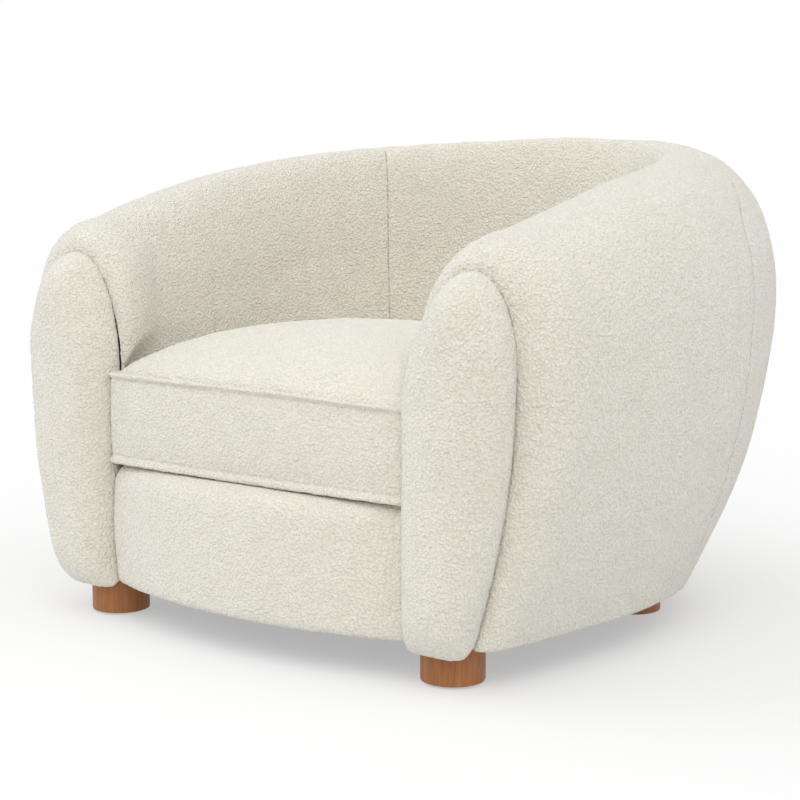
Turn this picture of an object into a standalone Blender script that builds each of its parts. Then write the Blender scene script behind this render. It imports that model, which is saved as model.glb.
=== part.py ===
"""Upholstered barrel armchair: frame, webbing, foam, fabric covers, a loose seat cushion and round legs.

Metres, +Z up. X runs to the chair's right seen from the front, -Y is the front, and Z = 0 is the floor.
The body is one inverted-U section carried round a U in plan. A place on it is given by t, the share of
the half path from the back centre (0) to the arm front (1, negative on the left), by s, the distance out
from the inner wall, and by z.
"""

import math

import bmesh
import bpy
from mathutils import Vector

# ---------------------------------------------------------------- driving dimensions
GAP = 0.0004  # clearance between pieces that touch
LEG_DIAMETER = 0.089
FRONT_LEG = (0.326, -0.391)  # centre of a front leg in plan
REAR_LEG = (0.302, 0.102)
GLIDE_RADIUS = 0.028
GLIDE_THICKNESS = 0.0025
BODY_BOTTOM = 0.056  # lower edge of the upholstery

# inner wall of the U in plan
INNER_HALF_WIDTH = 0.299
INNER_DEPTH = 0.401  # from the widest place to the back centre
WIDEST_Y = -0.122  # where the straight arms begin
ROUNDNESS = 2.264  # exponent of the rounded back
ARM_FRONT_Y = -0.347  # where the arm starts to round over to its front seam
SEAM_Y = -0.418  # plane of the seam round the front pillows

# section of the body at the back centre, at the rear corner and at the arm front
THICKNESS = (0.210, 0.248, 0.219)
RIDGE_S = (0.075, 0.094, 0.0895)  # the highest line, out from the inner wall
RIDGE_Z = (0.733, 0.693, 0.609)
WIDEST_Z = (0.448, 0.5035, 0.4615)
TUCK = (0.1405, 0.116, 0.1035)  # how far the outside runs in towards its bottom edge
INNER_TOP_Z = (0.550, 0.520, 0.440)  # where the inner wall starts to roll over
LEAN = (0.040, 0.030, 0.008)  # how far the inner wall leans out up to there
ROLL_FULLNESS = 2.2  # exponent of the roll's two quarter curves, where 2 is an ellipse
CENTRE_EASE = 0.10  # share of the half path over which the section changes slowly at the back centre

# outline of a front pillow, with s counted from PILLOW_INNER_X
PILLOW_INNER_X = 0.287
PILLOW_WIDTH = 0.163
PILLOW_RIDGE_S = 0.0915
PILLOW_TOP_Z = 0.5585
PILLOW_WIDEST_Z = 0.428
PILLOW_TUCK = 0.0675
PILLOW_INNER_TOP_Z = 0.380
PILLOW_BOTTOM_Z = 0.0585
PILLOW_FULLNESS = 2.0
PILLOW_BACK_Y = SEAM_Y - GAP
PILLOW_BOARD = 0.009  # thickness of its plywood board
BOARD_MARGIN = 0.0020  # from the foam's edge to the board's

# dome of a front pillow
PILLOW_DEPTH = 0.071
PILLOW_SAG = 0.027  # how far its belly hangs below the outline, in front of the leg
PILLOW_BULGE = 0.006  # how far it swells sideways past its seam
DOME_RINGS = 5  # between its back edge and its front; the belly starts after the first
DOME_FULLNESS = 0.663  # below 1, the dome keeps its width further forward
DOME_DROP = 0.355  # how much less the dome shrinks in height than in width

# seat
DECK_TOP = 0.2430
CUSHION_BOTTOM = 0.2436
CUSHION_EDGE_TOP = 0.3780
CUSHION_CROWN = 0.074  # how far the middle of its top stands above its edge
CROWN_SHAPE = (3.0, 0.8)  # exponents of the crown's fall towards the edge
REAR_FALL = 0.30  # share of the crown lost towards the back, where the inner back presses on it
CUSHION_HALF_WIDTH = 0.2840
CUSHION_FRONT_Y = -0.447  # at its corners
CUSHION_BOW = 0.008
CUSHION_CORNER = 0.009
CUSHION_CLEARANCE = 0.011  # to the inner wall, room for the zip and its slider
WELL_TOP = 0.20  # the inner walls' upholstery ends here, below the deck's surface

# zip in the cushion's back
ZIP_RADIUS = 0.325  # the cushion's back follows this arc where the zip runs
ZIP_HALF_ANGLE = math.radians(27)
ZIP_WIDTH = 0.024
ZIP_Z = (CUSHION_BOTTOM + CUSHION_EDGE_TOP) / 2
ZIP_CENTRE_Y = WIDEST_Y + INNER_DEPTH - CUSHION_CLEARANCE - ZIP_RADIUS

# front rail
RAIL_HALF_WIDTH = 0.2855
RAIL_SIDE_Y = -0.436
RAIL_BOW = 0.0515
RAIL_CORNER = 0.016
RAIL_TOP = 0.2370
RAIL_BOTTOM = BODY_BOTTOM + 0.001
RAIL_TURN_IN = 0.015  # how far its cover turns in under the rail
RAIL_BOARD_HALF = 0.254

# layers of the upholstery, as depths in from its surface
COVER = 0.0020
FOAM_START = COVER + 0.0005
FOAM_ROLL = 0.0365  # the foam's inner face, over the roll
FOAM_DECK = 0.0205  # the same where the inner wall meets the deck
FOAM_FOOT = 0.0155  # the same at the outer bottom edge
FOAM_LIFT = 0.004  # the foam's bottom edge stands this far above the cover's
PANEL_SEAM = (0.328, 0.540)  # t of the seam between back and arm panels, inside and outside

# frame
BOARD = 0.022
FRAME_BOTTOM = 0.0590
FRAME_TOP = 0.1900
BLOCK_TOP = 0.105
REAR_BLOCK_HALF_T = 0.057
ARM_PANEL = 0.018  # thickness of an arm's plywood front panel
PANEL_INSET = 0.017  # its edge inside the pillow's seam
TOP_RAIL_DROP = 0.088  # top rails' upper face below the ridge
BOLT_RADIUS = 0.004
BOLT_CLEARANCE = 0.0006
BOLT_SIDES = 12

# suspension and dust cover
WEBBING = 0.0014
WEBBING_WIDTH = 0.055
LENGTHWISE_X = (-0.20, -0.10, 0.0, 0.10, 0.20)
CROSS_Y = (-0.31, -0.16, -0.01)
DUST_COVER = (0.0562, 0.0577)  # its lower and upper face

# points along each stretch of the shapes
INNER_STEPS, ROLL_STEPS, OUTER_STEPS = 3, 5, 5
ARM_STEPS, SHOULDER_STEPS, BACK_STEPS = 7, 4, 12
CUSHION_SIDE_STEPS, CUSHION_FRONT_STEPS, ZIP_STEPS = 7, 8, 8
PLAN_STEPS = 14
RAIL_CORNER_STEPS = 3


# ---------------------------------------------------------------- scene and materials
def clear_scene():
    """Start from nothing."""
    for thing in list(bpy.data.objects):
        bpy.data.objects.remove(thing, do_unlink=True)


def material(name, colour, roughness, metallic=0.0):
    made = bpy.data.materials.new(name)
    made.use_nodes = True
    shader = made.node_tree.nodes["Principled BSDF"]
    shader.inputs["Base Color"].default_value = (*colour, 1.0)
    shader.inputs["Roughness"].default_value = roughness
    shader.inputs["Metallic"].default_value = metallic
    return made


SIDES = ((1, "right"), (-1, "left"))

# colour, roughness and metallic of each material
FABRIC = ((0.80, 0.77, 0.71), 0.95)
FOAM = ((0.86, 0.80, 0.58), 0.90)
HARDWOOD = ((0.62, 0.42, 0.25), 0.50)
FRAME_WOOD = ((0.70, 0.55, 0.38), 0.70)
PLYWOOD = ((0.72, 0.58, 0.42), 0.65)
STEEL = ((0.62, 0.62, 0.60), 0.35, 0.9)
FELT = ((0.16, 0.15, 0.14), 0.95)
STRAPPING = ((0.30, 0.27, 0.22), 0.80)
CAMBRIC = ((0.05, 0.05, 0.05), 0.90)
ZIP_TAPE = ((0.66, 0.62, 0.55), 0.80)
NICKEL = ((0.72, 0.70, 0.66), 0.30, 1.0)


def add_object(name, vertices, faces, look, smooth=True):
    """One closed solid from points and faces, with its own material."""
    mesh = bpy.data.meshes.new(name)
    mesh.from_pydata(vertices, [], faces)
    mesh.update()
    work = bmesh.new()
    work.from_mesh(mesh)
    bmesh.ops.recalc_face_normals(work, faces=work.faces)
    work.to_mesh(mesh)
    work.free()
    thing = bpy.data.objects.new(name, mesh)
    bpy.context.collection.objects.link(thing)
    mesh.materials.append(material(name, *look))
    if smooth:
        mesh.shade_smooth()
        mesh.set_sharp_from_angle(angle=math.radians(35))
    return thing


# ---------------------------------------------------------------- the U path and its sections
def blend3(values, t):
    """Smooth value along the half path from its values at the back centre, the corner and the arm front."""
    back, corner, front = values
    ease = CENTRE_EASE
    share = (math.hypot(t, ease) - ease) / (math.hypot(1.0, ease) - ease)
    near = back * (1 - share) * (1 - 2 * share)
    far = front * share * (2 * share - 1)
    return near + corner * 4 * share * (1 - share) + far


def half_path():
    """The right half of the inner wall in plan, as close points with their running length."""
    rounds = 60
    points = []
    for i in range(rounds + 1):
        angle = math.pi / 2 * i / rounds
        x = INNER_HALF_WIDTH * math.sin(angle) ** (2 / ROUNDNESS)
        y = WIDEST_Y + INNER_DEPTH * math.cos(angle) ** (2 / ROUNDNESS)
        points.append(Vector((x, y)))
    points.append(Vector((INNER_HALF_WIDTH, ARM_FRONT_Y)))
    lengths = [0.0]
    for before, after in zip(points, points[1:]):
        lengths.append(lengths[-1] + (after - before).length)
    return points, lengths


PATH_POINTS, PATH_LENGTHS = half_path()
DIRECTION_REACH = 0.02  # the path's direction is taken over this length each way


def path_place(t):
    """The point at t on the inner wall in plan, and the direction out of the chair there."""
    wanted = min(abs(t), 1.0) * PATH_LENGTHS[-1]
    point = path_point_at(wanted)
    ahead = path_point_at(wanted + DIRECTION_REACH)
    behind = path_point_at(wanted - DIRECTION_REACH)
    along = (ahead - behind).normalized()
    out = Vector((-along.y, along.x))
    side = -1.0 if t < 0 else 1.0
    return Vector((point.x * side, point.y)), Vector((out.x * side, out.y))


def path_point_at(length):
    """The right half's point at a running length, mirrored past the back centre, straight past the front."""
    if length < 0:
        mirrored = path_point_at(-length)
        return Vector((-mirrored.x, mirrored.y))
    total = PATH_LENGTHS[-1]
    if length >= total:
        return PATH_POINTS[-1] + Vector((0.0, -(length - total)))
    i = 1
    while PATH_LENGTHS[i] < length:
        i += 1
    share = (length - PATH_LENGTHS[i - 1]) / (PATH_LENGTHS[i] - PATH_LENGTHS[i - 1])
    return PATH_POINTS[i - 1].lerp(PATH_POINTS[i], share)


def nearest_t(x, y):
    """The t whose place on the inner wall is closest to a point on the chair's right half."""
    steps = 400
    spot = Vector((x, y))
    return min((i / steps for i in range(steps + 1)), key=lambda t: (path_place(t)[0] - spot).length)


def inner_wall_s(t, z):
    """How far the inner wall has leaned out at a height below its roll."""
    share = (z - BODY_BOTTOM) / (blend3(INNER_TOP_Z, t) - BODY_BOTTOM)
    return blend3(LEAN, t) * share


def outer_wall_s(t, z):
    """The outside surface at a height below its widest line."""
    share = (blend3(WIDEST_Z, t) - z) / (blend3(WIDEST_Z, t) - BODY_BOTTOM)
    return blend3(THICKNESS, t) - blend3(TUCK, t) * share**2


def roll_outline(start, inner_top, ridge, widest, foot, tuck, fullness):
    """Section points (s, z): up the inner wall, over the roll and down the tucked outside to the foot."""
    power = 2 / fullness
    points = []
    for i in range(INNER_STEPS):
        points.append(tuple(Vector(start).lerp(Vector(inner_top), i / INNER_STEPS)))
    for i in range(ROLL_STEPS):
        angle = math.pi / 2 * i / ROLL_STEPS
        s = inner_top[0] + (ridge[0] - inner_top[0]) * (1 - math.cos(angle) ** power)
        points.append((s, inner_top[1] + (ridge[1] - inner_top[1]) * math.sin(angle) ** power))
    for i in range(ROLL_STEPS):
        angle = math.pi / 2 * i / ROLL_STEPS
        s = ridge[0] + (widest[0] - ridge[0]) * math.sin(angle) ** power
        points.append((s, widest[1] + (ridge[1] - widest[1]) * math.cos(angle) ** power))
    for i in range(OUTER_STEPS + 1):
        share = i / OUTER_STEPS
        points.append((widest[0] - tuck * share**2, widest[1] + (foot - widest[1]) * share))
    return points


def body_outline(t):
    """The body's section at t, as (s, z) points from the deck over the ridge to the outer bottom edge."""
    return roll_outline(
        (inner_wall_s(t, WELL_TOP), WELL_TOP),
        (blend3(LEAN, t), blend3(INNER_TOP_Z, t)),
        (blend3(RIDGE_S, t), blend3(RIDGE_Z, t)),
        (blend3(THICKNESS, t), blend3(WIDEST_Z, t)),
        BODY_BOTTOM,
        blend3(TUCK, t),
        ROLL_FULLNESS,
    )


def trimmed(outline, lift):
    """An outline whose last point is drawn back along its last stretch, to end higher by lift."""
    (s0, z0), (s1, z1) = outline[-2:]
    share = lift / (z0 - z1)
    return outline[:-1] + [(s1 + (s0 - s1) * share, z1 + lift)]


def pillow_outline(start_z=PILLOW_BOTTOM_Z, foot=PILLOW_BOTTOM_Z):
    """A front pillow's outline as (distance from the middle plane, z), in the same order as a section."""
    share = (PILLOW_WIDEST_Z - foot) / (PILLOW_WIDEST_Z - PILLOW_BOTTOM_Z)
    return roll_outline(
        (PILLOW_INNER_X, start_z),
        (PILLOW_INNER_X, PILLOW_INNER_TOP_Z),
        (PILLOW_INNER_X + PILLOW_RIDGE_S, PILLOW_TOP_Z),
        (PILLOW_INNER_X + PILLOW_WIDTH, PILLOW_WIDEST_Z),
        foot,
        PILLOW_TUCK * share**2,
        PILLOW_FULLNESS,
    )


def inset(points, amounts, closed=False):
    """Points moved in from a clockwise outline, each by its own amount, square to the outline."""
    moved = []
    count = len(points)
    for i, (s, z) in enumerate(points):
        before = points[(i - 1) % count] if closed or i > 0 else points[i]
        after = points[(i + 1) % count] if closed or i < count - 1 else points[i]
        along = Vector((after[0] - before[0], after[1] - before[1])).normalized()
        moved.append((s + along.y * amounts[i], z - along.x * amounts[i]))
    return moved


# ---------------------------------------------------------------- solids from rings of points
def triangulated(quads):
    """Quads cut along the same diagonal, so that nested layers stay nested."""
    faces = []
    for a, b, c, d in quads:
        faces += [(a, b, c), (a, c, d)]
    return faces


def strip_cap(first, size):
    """Quads that close a folded strip's end, whose ring runs out along one face and back on the other."""
    back = first + size - 1
    return [(first + k, first + k + 1, back - k - 1, back - k) for k in range(size // 2 - 1)]


def loft(name, rings, look, smooth=True, strip=False):
    """A closed solid through closed rings of points, with a cap at each end: flat, or a strip's own."""
    size = len(rings[0])
    vertices = [point for ring in rings for point in ring]
    quads = []
    for r in range(len(rings) - 1):
        for i in range(size):
            j = (i + 1) % size
            quad = (r * size + i, r * size + j, (r + 1) * size + j, (r + 1) * size + i)
            returning = strip and i >= size // 2
            quads.append(quad[1:] + quad[:1] if returning else quad)
    last = (len(rings) - 1) * size
    if strip:
        caps = triangulated(strip_cap(0, size) + strip_cap(last, size))
    else:
        caps = [tuple(range(size)), tuple(range(last + size - 1, last - 1, -1))]
    return add_object(name, vertices, triangulated(quads) + caps, look, smooth)


def plan_ring(t, profile):
    """A section's (s, z) points placed at t on the path."""
    origin, out = path_place(t)
    return [(origin.x + out.x * s, origin.y + out.y * s, z) for s, z in profile]


def plate(name, outline, low, high, look):
    """A flat plate between two heights with the given outline in plan."""
    rings = [[(x, y, z) for x, y in outline] for z in (low, high)]
    return loft(name, rings, look, smooth=False)


def path_board(name, t_from, t_to, s_from, s_to, low, high, look=FRAME_WOOD, steps=8):
    """A board that follows the U path. Its heights are numbers, or functions of t."""
    rings = []
    for i in range(steps + 1):
        t = t_from + (t_to - t_from) * i / steps
        bottom = low(t) if callable(low) else low
        top = high(t) if callable(high) else high
        rings.append(plan_ring(t, [(s_from, bottom), (s_from, top), (s_to, top), (s_to, bottom)]))
    return loft(name, rings, look, smooth=False)


def cylinder(name, x, y, radius, low, high, look, sides=16, bevel=0.0):
    """An upright cylinder, with its lower rim bevelled if asked."""
    work = bmesh.new()
    shape = {"segments": sides, "radius1": radius, "radius2": radius, "depth": high - low}
    bmesh.ops.create_cone(work, cap_ends=True, **shape)
    if bevel:
        rims = [edge for edge in work.edges if max(end.co.z for end in edge.verts) < 0]
        bmesh.ops.bevel(work, geom=rims, offset=bevel, segments=2, profile=0.5, affect="EDGES")
    mesh = bpy.data.meshes.new(name)
    work.to_mesh(mesh)
    work.free()
    thing = bpy.data.objects.new(name, mesh)
    bpy.context.collection.objects.link(thing)
    thing.location = (x, y, (low + high) / 2)
    mesh.materials.append(material(name, *look))
    mesh.shade_smooth()
    mesh.set_sharp_from_angle(angle=math.radians(35))
    return thing


def cut(thing, cutter):
    """Take the cutter's shape out of a piece. The cutter stays as a guide only."""
    cutter.hide_render = True
    cutter.display_type = "WIRE"
    boolean = thing.modifiers.new("cut_" + cutter.name, "BOOLEAN")
    boolean.operation = "DIFFERENCE"
    boolean.object = cutter


def bolt_cutter(name, x, y, low, high):
    """A cutter for a bolt's bore between two heights."""
    return cylinder("cutter_" + name, x, y, BOLT_RADIUS + BOLT_CLEARANCE, low, high, STEEL, BOLT_SIDES)


# ---------------------------------------------------------------- upholstered body
def seam_t(k, count):
    """The panel seam's t at section point k: it runs back over the roll from the inside to the outside."""
    share = min(1.0, max(0.0, (k / (count - 1) - 0.25) / 0.45))
    inside, outside = PANEL_SEAM
    return inside + (outside - inside) * share


def hollow_outline(t):
    """The inner face of the foam, which bounds the hollow that holds the frame."""
    lean, thickness = blend3(LEAN, t), blend3(THICKNESS, t)
    inner_s, outer_s = lean + FOAM_ROLL, thickness - FOAM_ROLL
    ridge_share = (blend3(RIDGE_S, t) - lean) / (thickness - lean)
    foot_s = thickness - blend3(TUCK, t) - FOAM_FOOT
    return roll_outline(
        (inner_wall_s(t, WELL_TOP) + FOAM_DECK, WELL_TOP),
        (inner_s, blend3(INNER_TOP_Z, t)),
        (inner_s + ridge_share * (outer_s - inner_s), blend3(RIDGE_Z, t) - FOAM_ROLL),
        (outer_s, blend3(WIDEST_Z, t)),
        BODY_BOTTOM + FOAM_LIFT,
        outer_s - foot_s,
        ROLL_FULLNESS,
    )


def layer_faces(t, layer):
    """The outer and inner face of one layer of the section at t."""
    outline = body_outline(t)
    count = len(outline)
    if layer == "cover":
        return outline, inset(outline, [COVER] * count)
    return trimmed(inset(outline, [FOAM_START] * count), FOAM_LIFT), hollow_outline(t)


def skewed_ring(ts, profile):
    """A section whose points each have their own t, so that a panel's end can follow a slanting seam."""
    ring = []
    for t, (s, z) in zip(ts, profile):
        origin, out = path_place(t)
        ring.append((origin.x + out.x * s, origin.y + out.y * s, z))
    return ring


def panel_profile(ts, layer):
    """The layer's section, taking each point from the body's outline at its own t."""
    sections = [layer_faces(t, layer) for t in ts]
    near = [section[0][k] for k, section in enumerate(sections)]
    far = [section[1][k] for k, section in enumerate(sections)]
    return near + far[::-1]


def back_panel(name, layer, look):
    """The back's layer between the two panel seams."""
    count = len(body_outline(0.0))
    rings = []
    for i in range(BACK_STEPS + 1):
        share = 2 * i / BACK_STEPS - 1
        trim = GAP / PATH_LENGTHS[-1]
        ts = [share * (seam_t(k, count) - trim) for k in range(count)]
        rings.append(skewed_ring(ts + ts[::-1], panel_profile(ts, layer)))
    return loft(name, rings, look, strip=True)


def arm_panel(name, side, layer, look):
    """An arm's layer from the panel seam to the arm front, rounding over to the pillow's seam."""
    count = len(body_outline(0.0))
    rings = []
    for i in range(ARM_STEPS + 1):
        ts = []
        for k in range(count):
            start = seam_t(k, count)
            ts.append(side * (start + (1.0 - start) * i / ARM_STEPS))
        rings.append(skewed_ring(ts + ts[::-1], panel_profile(ts, layer)))
    outline = body_outline(1.0)
    seam = pillow_outline(WELL_TOP, BODY_BOTTOM)
    drift = [(x - INNER_HALF_WIDTH - s, to_z - z) for (s, z), (x, to_z) in zip(outline, seam)]
    drift += drift[::-1]
    near, far = layer_faces(1.0, layer)
    last_step = SHOULDER_STEPS if layer == "cover" else SHOULDER_STEPS - 2
    for i in range(1, last_step + 1):
        angle = math.pi / 2 * i / SHOULDER_STEPS
        mix = 1 - math.cos(angle)
        y = ARM_FRONT_Y + (SEAM_Y - ARM_FRONT_Y) * math.sin(angle)
        ring = []
        for (s, z), (ds, dz) in zip(near + far[::-1], drift):
            ring.append((side * (INNER_HALF_WIDTH + s + ds * mix), y, z + dz * mix))
        rings.append(ring)
    return loft(name, rings, look, strip=True)


def make_body():
    for side, word in SIDES:
        arm_panel(f"arm_cover_{word}", side, "cover", FABRIC)
        arm_panel(f"arm_foam_{word}", side, "foam", FOAM)
    back_panel("back_cover", "cover", FABRIC)
    back_panel("back_foam", "foam", FOAM)


# ---------------------------------------------------------------- front pillows
def dome_ring(outline, angle, depth, back_y, sag):
    """The pillow's outline drawn in and pushed forward, as a ring of its dome."""
    xs = [x for x, _ in outline]
    zs = [z for _, z in outline]
    middle_x, middle_z = (min(xs) + max(xs)) / 2, (min(zs) + max(zs)) / 2
    half_width = max(xs) - middle_x
    across = math.cos(angle) ** DOME_FULLNESS
    along = 1 - (1 - across) * DOME_DROP
    bulge = PILLOW_BULGE * math.sin(min(2 * angle, math.pi))
    y = back_y - depth * math.sin(angle)
    ring = []
    for x, z in outline:
        sideways = max(-1.0, min(1.0, 2 * (x - middle_x) / half_width))
        below = max(0.0, (middle_z - z) / (middle_z - min(zs)))
        ring_x = middle_x + (x - middle_x) * across + bulge * sideways
        ring.append((ring_x, y, middle_z + (z - middle_z) * along - sag * below**2))
    return ring


def dome_rings(outline, depth, back_y):
    """Rings from the pillow's back edge forward to a narrow last one."""
    last = math.radians(84)
    rings = []
    for i in range(DOME_RINGS + 1):
        belly = math.sin(math.pi * max(0, i - 1) / (DOME_RINGS - 0.5)) ** 0.5
        rings.append(dome_ring(outline, last * i / DOME_RINGS, depth, back_y, PILLOW_SAG * belly))
    return rings


def mirrored(ring, side):
    """A ring as it stands on the right (1) or on the left (-1)."""
    return [(x * side, y, z) for x, y, z in ring]


def make_pillow(side, word):
    """A front pillow: its plywood board, its foam dome and its cover."""
    outline = pillow_outline()
    count = len(outline)
    under_cover = inset(outline, [COVER] * count, closed=True)
    foam_line = inset(outline, [FOAM_START] * count, closed=True)
    board_line = inset(outline, [FOAM_START + BOARD_MARGIN] * count, closed=True)
    board_front = PILLOW_BACK_Y - PILLOW_BOARD
    outside = dome_rings(outline, PILLOW_DEPTH, PILLOW_BACK_Y)
    inside = dome_rings(under_cover, PILLOW_DEPTH - COVER, PILLOW_BACK_Y)
    skin = [mirrored(ring, side) for ring in outside]
    lining = [mirrored(ring, side) for ring in inside]
    dome_shell(f"pillow_cover_{word}", skin, lining, FABRIC)
    padding = dome_rings(foam_line, PILLOW_DEPTH - FOAM_START, PILLOW_BACK_Y)
    padding[0] = [(x, board_front - GAP, z) for x, _, z in dome_between(padding, board_front - GAP)]
    loft(f"pillow_foam_{word}", [mirrored(ring, side) for ring in padding], FOAM)
    board = [[(x * side, y, z) for x, z in board_line] for y in (PILLOW_BACK_Y, board_front)]
    loft(f"pillow_board_{word}", board, PLYWOOD, smooth=False)


def make_pillows():
    for side, word in SIDES:
        make_pillow(side, word)


def dome_between(rings, y):
    """The ring where a dome crosses a plane between its first two rings."""
    share = (rings[0][0][1] - y) / (rings[0][0][1] - rings[1][0][1])
    return [tuple(Vector(a).lerp(Vector(b), share)) for a, b in zip(rings[0], rings[1])]


def dome_shell(name, skin, lining, look):
    """A thin cover over a dome, open at the back: its skin and its lining joined by the back rim."""
    size, layers = len(skin[0]), len(skin)
    vertices = [point for ring in skin for point in ring] + [point for ring in lining for point in ring]
    quads = []
    for r in range(layers - 1):
        for i in range(size):
            j = (i + 1) % size
            quads.append((r * size + i, r * size + j, (r + 1) * size + j, (r + 1) * size + i))
    shift = layers * size
    quads += [(a + shift, b + shift, c + shift, d + shift) for a, b, c, d in quads]
    for i in range(size):
        j = (i + 1) % size
        quads.append((i, j, shift + j, shift + i))
    caps = [tuple(shift - size + i for i in range(size)), tuple(2 * shift - size + i for i in range(size))]
    return add_object(name, vertices, triangulated(quads) + caps, look)


# ---------------------------------------------------------------- front rail
def bow_y(x):
    """The rail's bowed face at x."""
    return RAIL_SIDE_Y - RAIL_BOW * (1 - (x / RAIL_HALF_WIDTH) ** 2)


def bow_line(half, steps):
    """Plan points along the bow from -half to half, each with its outward direction."""
    places = []
    for i in range(steps + 1):
        x = -half + 2 * half * i / steps
        slope = 2 * RAIL_BOW * x / RAIL_HALF_WIDTH**2
        out = Vector((slope, -1.0)).normalized()
        places.append(((x, bow_y(x)), (out.x, out.y)))
    return places


def rail_line():
    """Plan points with outward directions: round one end, along the bow, round the other end."""
    inner = RAIL_HALF_WIDTH - RAIL_CORNER
    end = []
    for i in range(RAIL_CORNER_STEPS):
        angle = math.pi / 2 * i / RAIL_CORNER_STEPS
        x = -RAIL_HALF_WIDTH + RAIL_CORNER * (1 - math.cos(angle))
        y = bow_y(inner) + RAIL_CORNER * (1 - math.sin(angle))
        end.append(((x, y), (-math.cos(angle), -math.sin(angle))))
    other_end = [((-x, y), (-dx, dy)) for (x, y), (dx, dy) in end[::-1]]
    return end + bow_line(inner, 10) + other_end


def rail_rings(places, profile, round_places=0):
    """Rings of (depth in from the face, z) points. Round the ends, the depth stays within the corner."""
    rings = []
    for i, ((x, y), (dx, dy)) in enumerate(places):
        at_end = min(i, len(places) - 1 - i) < round_places
        most = RAIL_CORNER * 0.85 if at_end else 1.0
        rings.append([(x - dx * min(d, most), y - dy * min(d, most), z) for d, z in profile])
    return rings


def make_front_rail():
    """The rail's wrapped cover, its pad and the board inside them."""
    bottom, top = RAIL_BOTTOM, RAIL_TOP
    outer = [
        (RAIL_TURN_IN, bottom),
        (0.006, bottom),
        (0.0, bottom + 0.010),
        (0.0, top - 0.026),
        (0.006, top - 0.008),
        (0.019, top),
        (0.042, top),
    ]
    inner = [
        (RAIL_TURN_IN, bottom + COVER),
        (0.007, bottom + COVER),
        (COVER, bottom + 0.011),
        (COVER, top - 0.026),
        (0.0075, top - 0.0095),
        (0.0195, top - COVER),
        (0.042, top - COVER),
    ]
    whole = rail_line()
    ends = RAIL_CORNER_STEPS + 1
    loft("front_rail_cover", rail_rings(whole, outer + inner[::-1], ends), FABRIC, strip=True)
    face = FOAM_START + 0.019
    pad_top = top - FOAM_START - 0.0005
    pad = [
        (0.009, FRAME_BOTTOM),
        (FOAM_START, bottom + 0.014),
        (FOAM_START, top - 0.027),
        (0.009, top - 0.012),
        (0.021, pad_top),
        (0.042, pad_top),
        (0.042, FRAME_TOP + GAP),
        (face, FRAME_TOP + GAP),
        (face, FRAME_BOTTOM),
    ]
    loft("front_rail_pad", rail_rings(whole[ends:-ends], pad), FOAM)
    near, far = face + 3 * GAP, face + BOARD
    board = [(near, FRAME_BOTTOM), (near, FRAME_TOP), (far, FRAME_TOP), (far, FRAME_BOTTOM)]
    loft("front_rail", rail_rings(bow_line(RAIL_BOARD_HALF, 8), board), FRAME_WOOD, smooth=False)


# ---------------------------------------------------------------- frame
def rail_height(drop):
    """A height that stays a fixed drop below the ridge along the path."""
    return lambda t: blend3(RIDGE_Z, t) - drop


def bored(block, name, x, y):
    """Bore a corner block for its leg's bolt."""
    cut(block, bolt_cutter(name, x, y, FRAME_BOTTOM - 0.01, BLOCK_TOP + 0.01))


def make_frame():
    """Rails, posts and blocks. Every rail follows the U path, and each side repeats the other."""
    rear_t = nearest_t(*REAR_LEG)
    block_from, block_to = rear_t - REAR_BLOCK_HALF_T, rear_t + REAR_BLOCK_HALF_T
    back_end, side_start = block_from - 0.003, block_to + 0.003
    low, high = FRAME_BOTTOM, FRAME_TOP
    path_board("back_rail", -back_end, back_end, 0.030, 0.030 + BOARD, low, high, steps=12)
    top, under = rail_height(TOP_RAIL_DROP), rail_height(TOP_RAIL_DROP + BOARD)
    for side, word in SIDES:
        leg_x, leg_y = FRONT_LEG
        near_x, far_x = side * (leg_x - 0.066), side * (leg_x + 0.034)
        front_y, rear_y = leg_y - 0.010, leg_y + 0.050
        square = [(near_x, front_y), (far_x, front_y), (far_x, rear_y), (near_x, rear_y)]
        name = f"corner_block_front_{word}"
        bored(plate(name, square, low, BLOCK_TOP, FRAME_WOOD), name, side * leg_x, leg_y)
        name = f"corner_block_rear_{word}"
        block = path_board(name, side * block_from, side * block_to, 0.010, 0.080, low, BLOCK_TOP, steps=3)
        bored(block, name, side * REAR_LEG[0], REAR_LEG[1])
        path_board(f"side_rail_{word}", side * side_start, side * 0.975, 0.064, 0.064 + BOARD, low, high)
        path_board(f"tack_rail_{word}", side * 0.36, side * 0.99, 0.045, 0.063, 0.215, 0.255)
        path_board(f"arm_top_rail_{word}", side * 0.44, side * 0.99, 0.096, 0.136, under, top)
        front_panel(side, word)
    under = rail_height(TOP_RAIL_DROP + 0.045)
    path_board("back_top_rail", -0.42, 0.42, 0.094, 0.130, under, top, steps=12)
    for word, t in (("left", -0.24), ("centre", 0.0), ("right", 0.24)):
        back_post(f"back_post_{word}", t)


def front_panel(side, word):
    """The plywood panel that shapes the arm front, standing on the corner block."""
    whole = pillow_outline(BLOCK_TOP + GAP, BLOCK_TOP + GAP)
    inward = inset(whole, [PANEL_INSET] * len(whole))
    outline = [(x, max(z, BLOCK_TOP + GAP)) for x, z in inward]
    front_y = SEAM_Y + GAP
    rings = [[(side * x, y, z) for x, z in outline] for y in (front_y, front_y + ARM_PANEL)]
    loft(f"arm_front_panel_{word}", rings, PLYWOOD, smooth=False)


def back_post(name, t):
    """A raked upright from the back rail to the back top rail."""
    low, high = FRAME_TOP + GAP, blend3(RIDGE_Z, t) - TOP_RAIL_DROP - 0.048
    half = 0.020
    rings = []
    for z, s in ((low, 0.034), (high, 0.099)):
        origin, out = path_place(t)
        along = Vector((out.y, -out.x))
        corners = [(s, -half), (s, half), (s + 0.024, half), (s + 0.024, -half)]
        rings.append([(*(origin + out * a + along * b), z) for a, b in corners])
    loft(name, rings, FRAME_WOOD, smooth=False)


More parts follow.
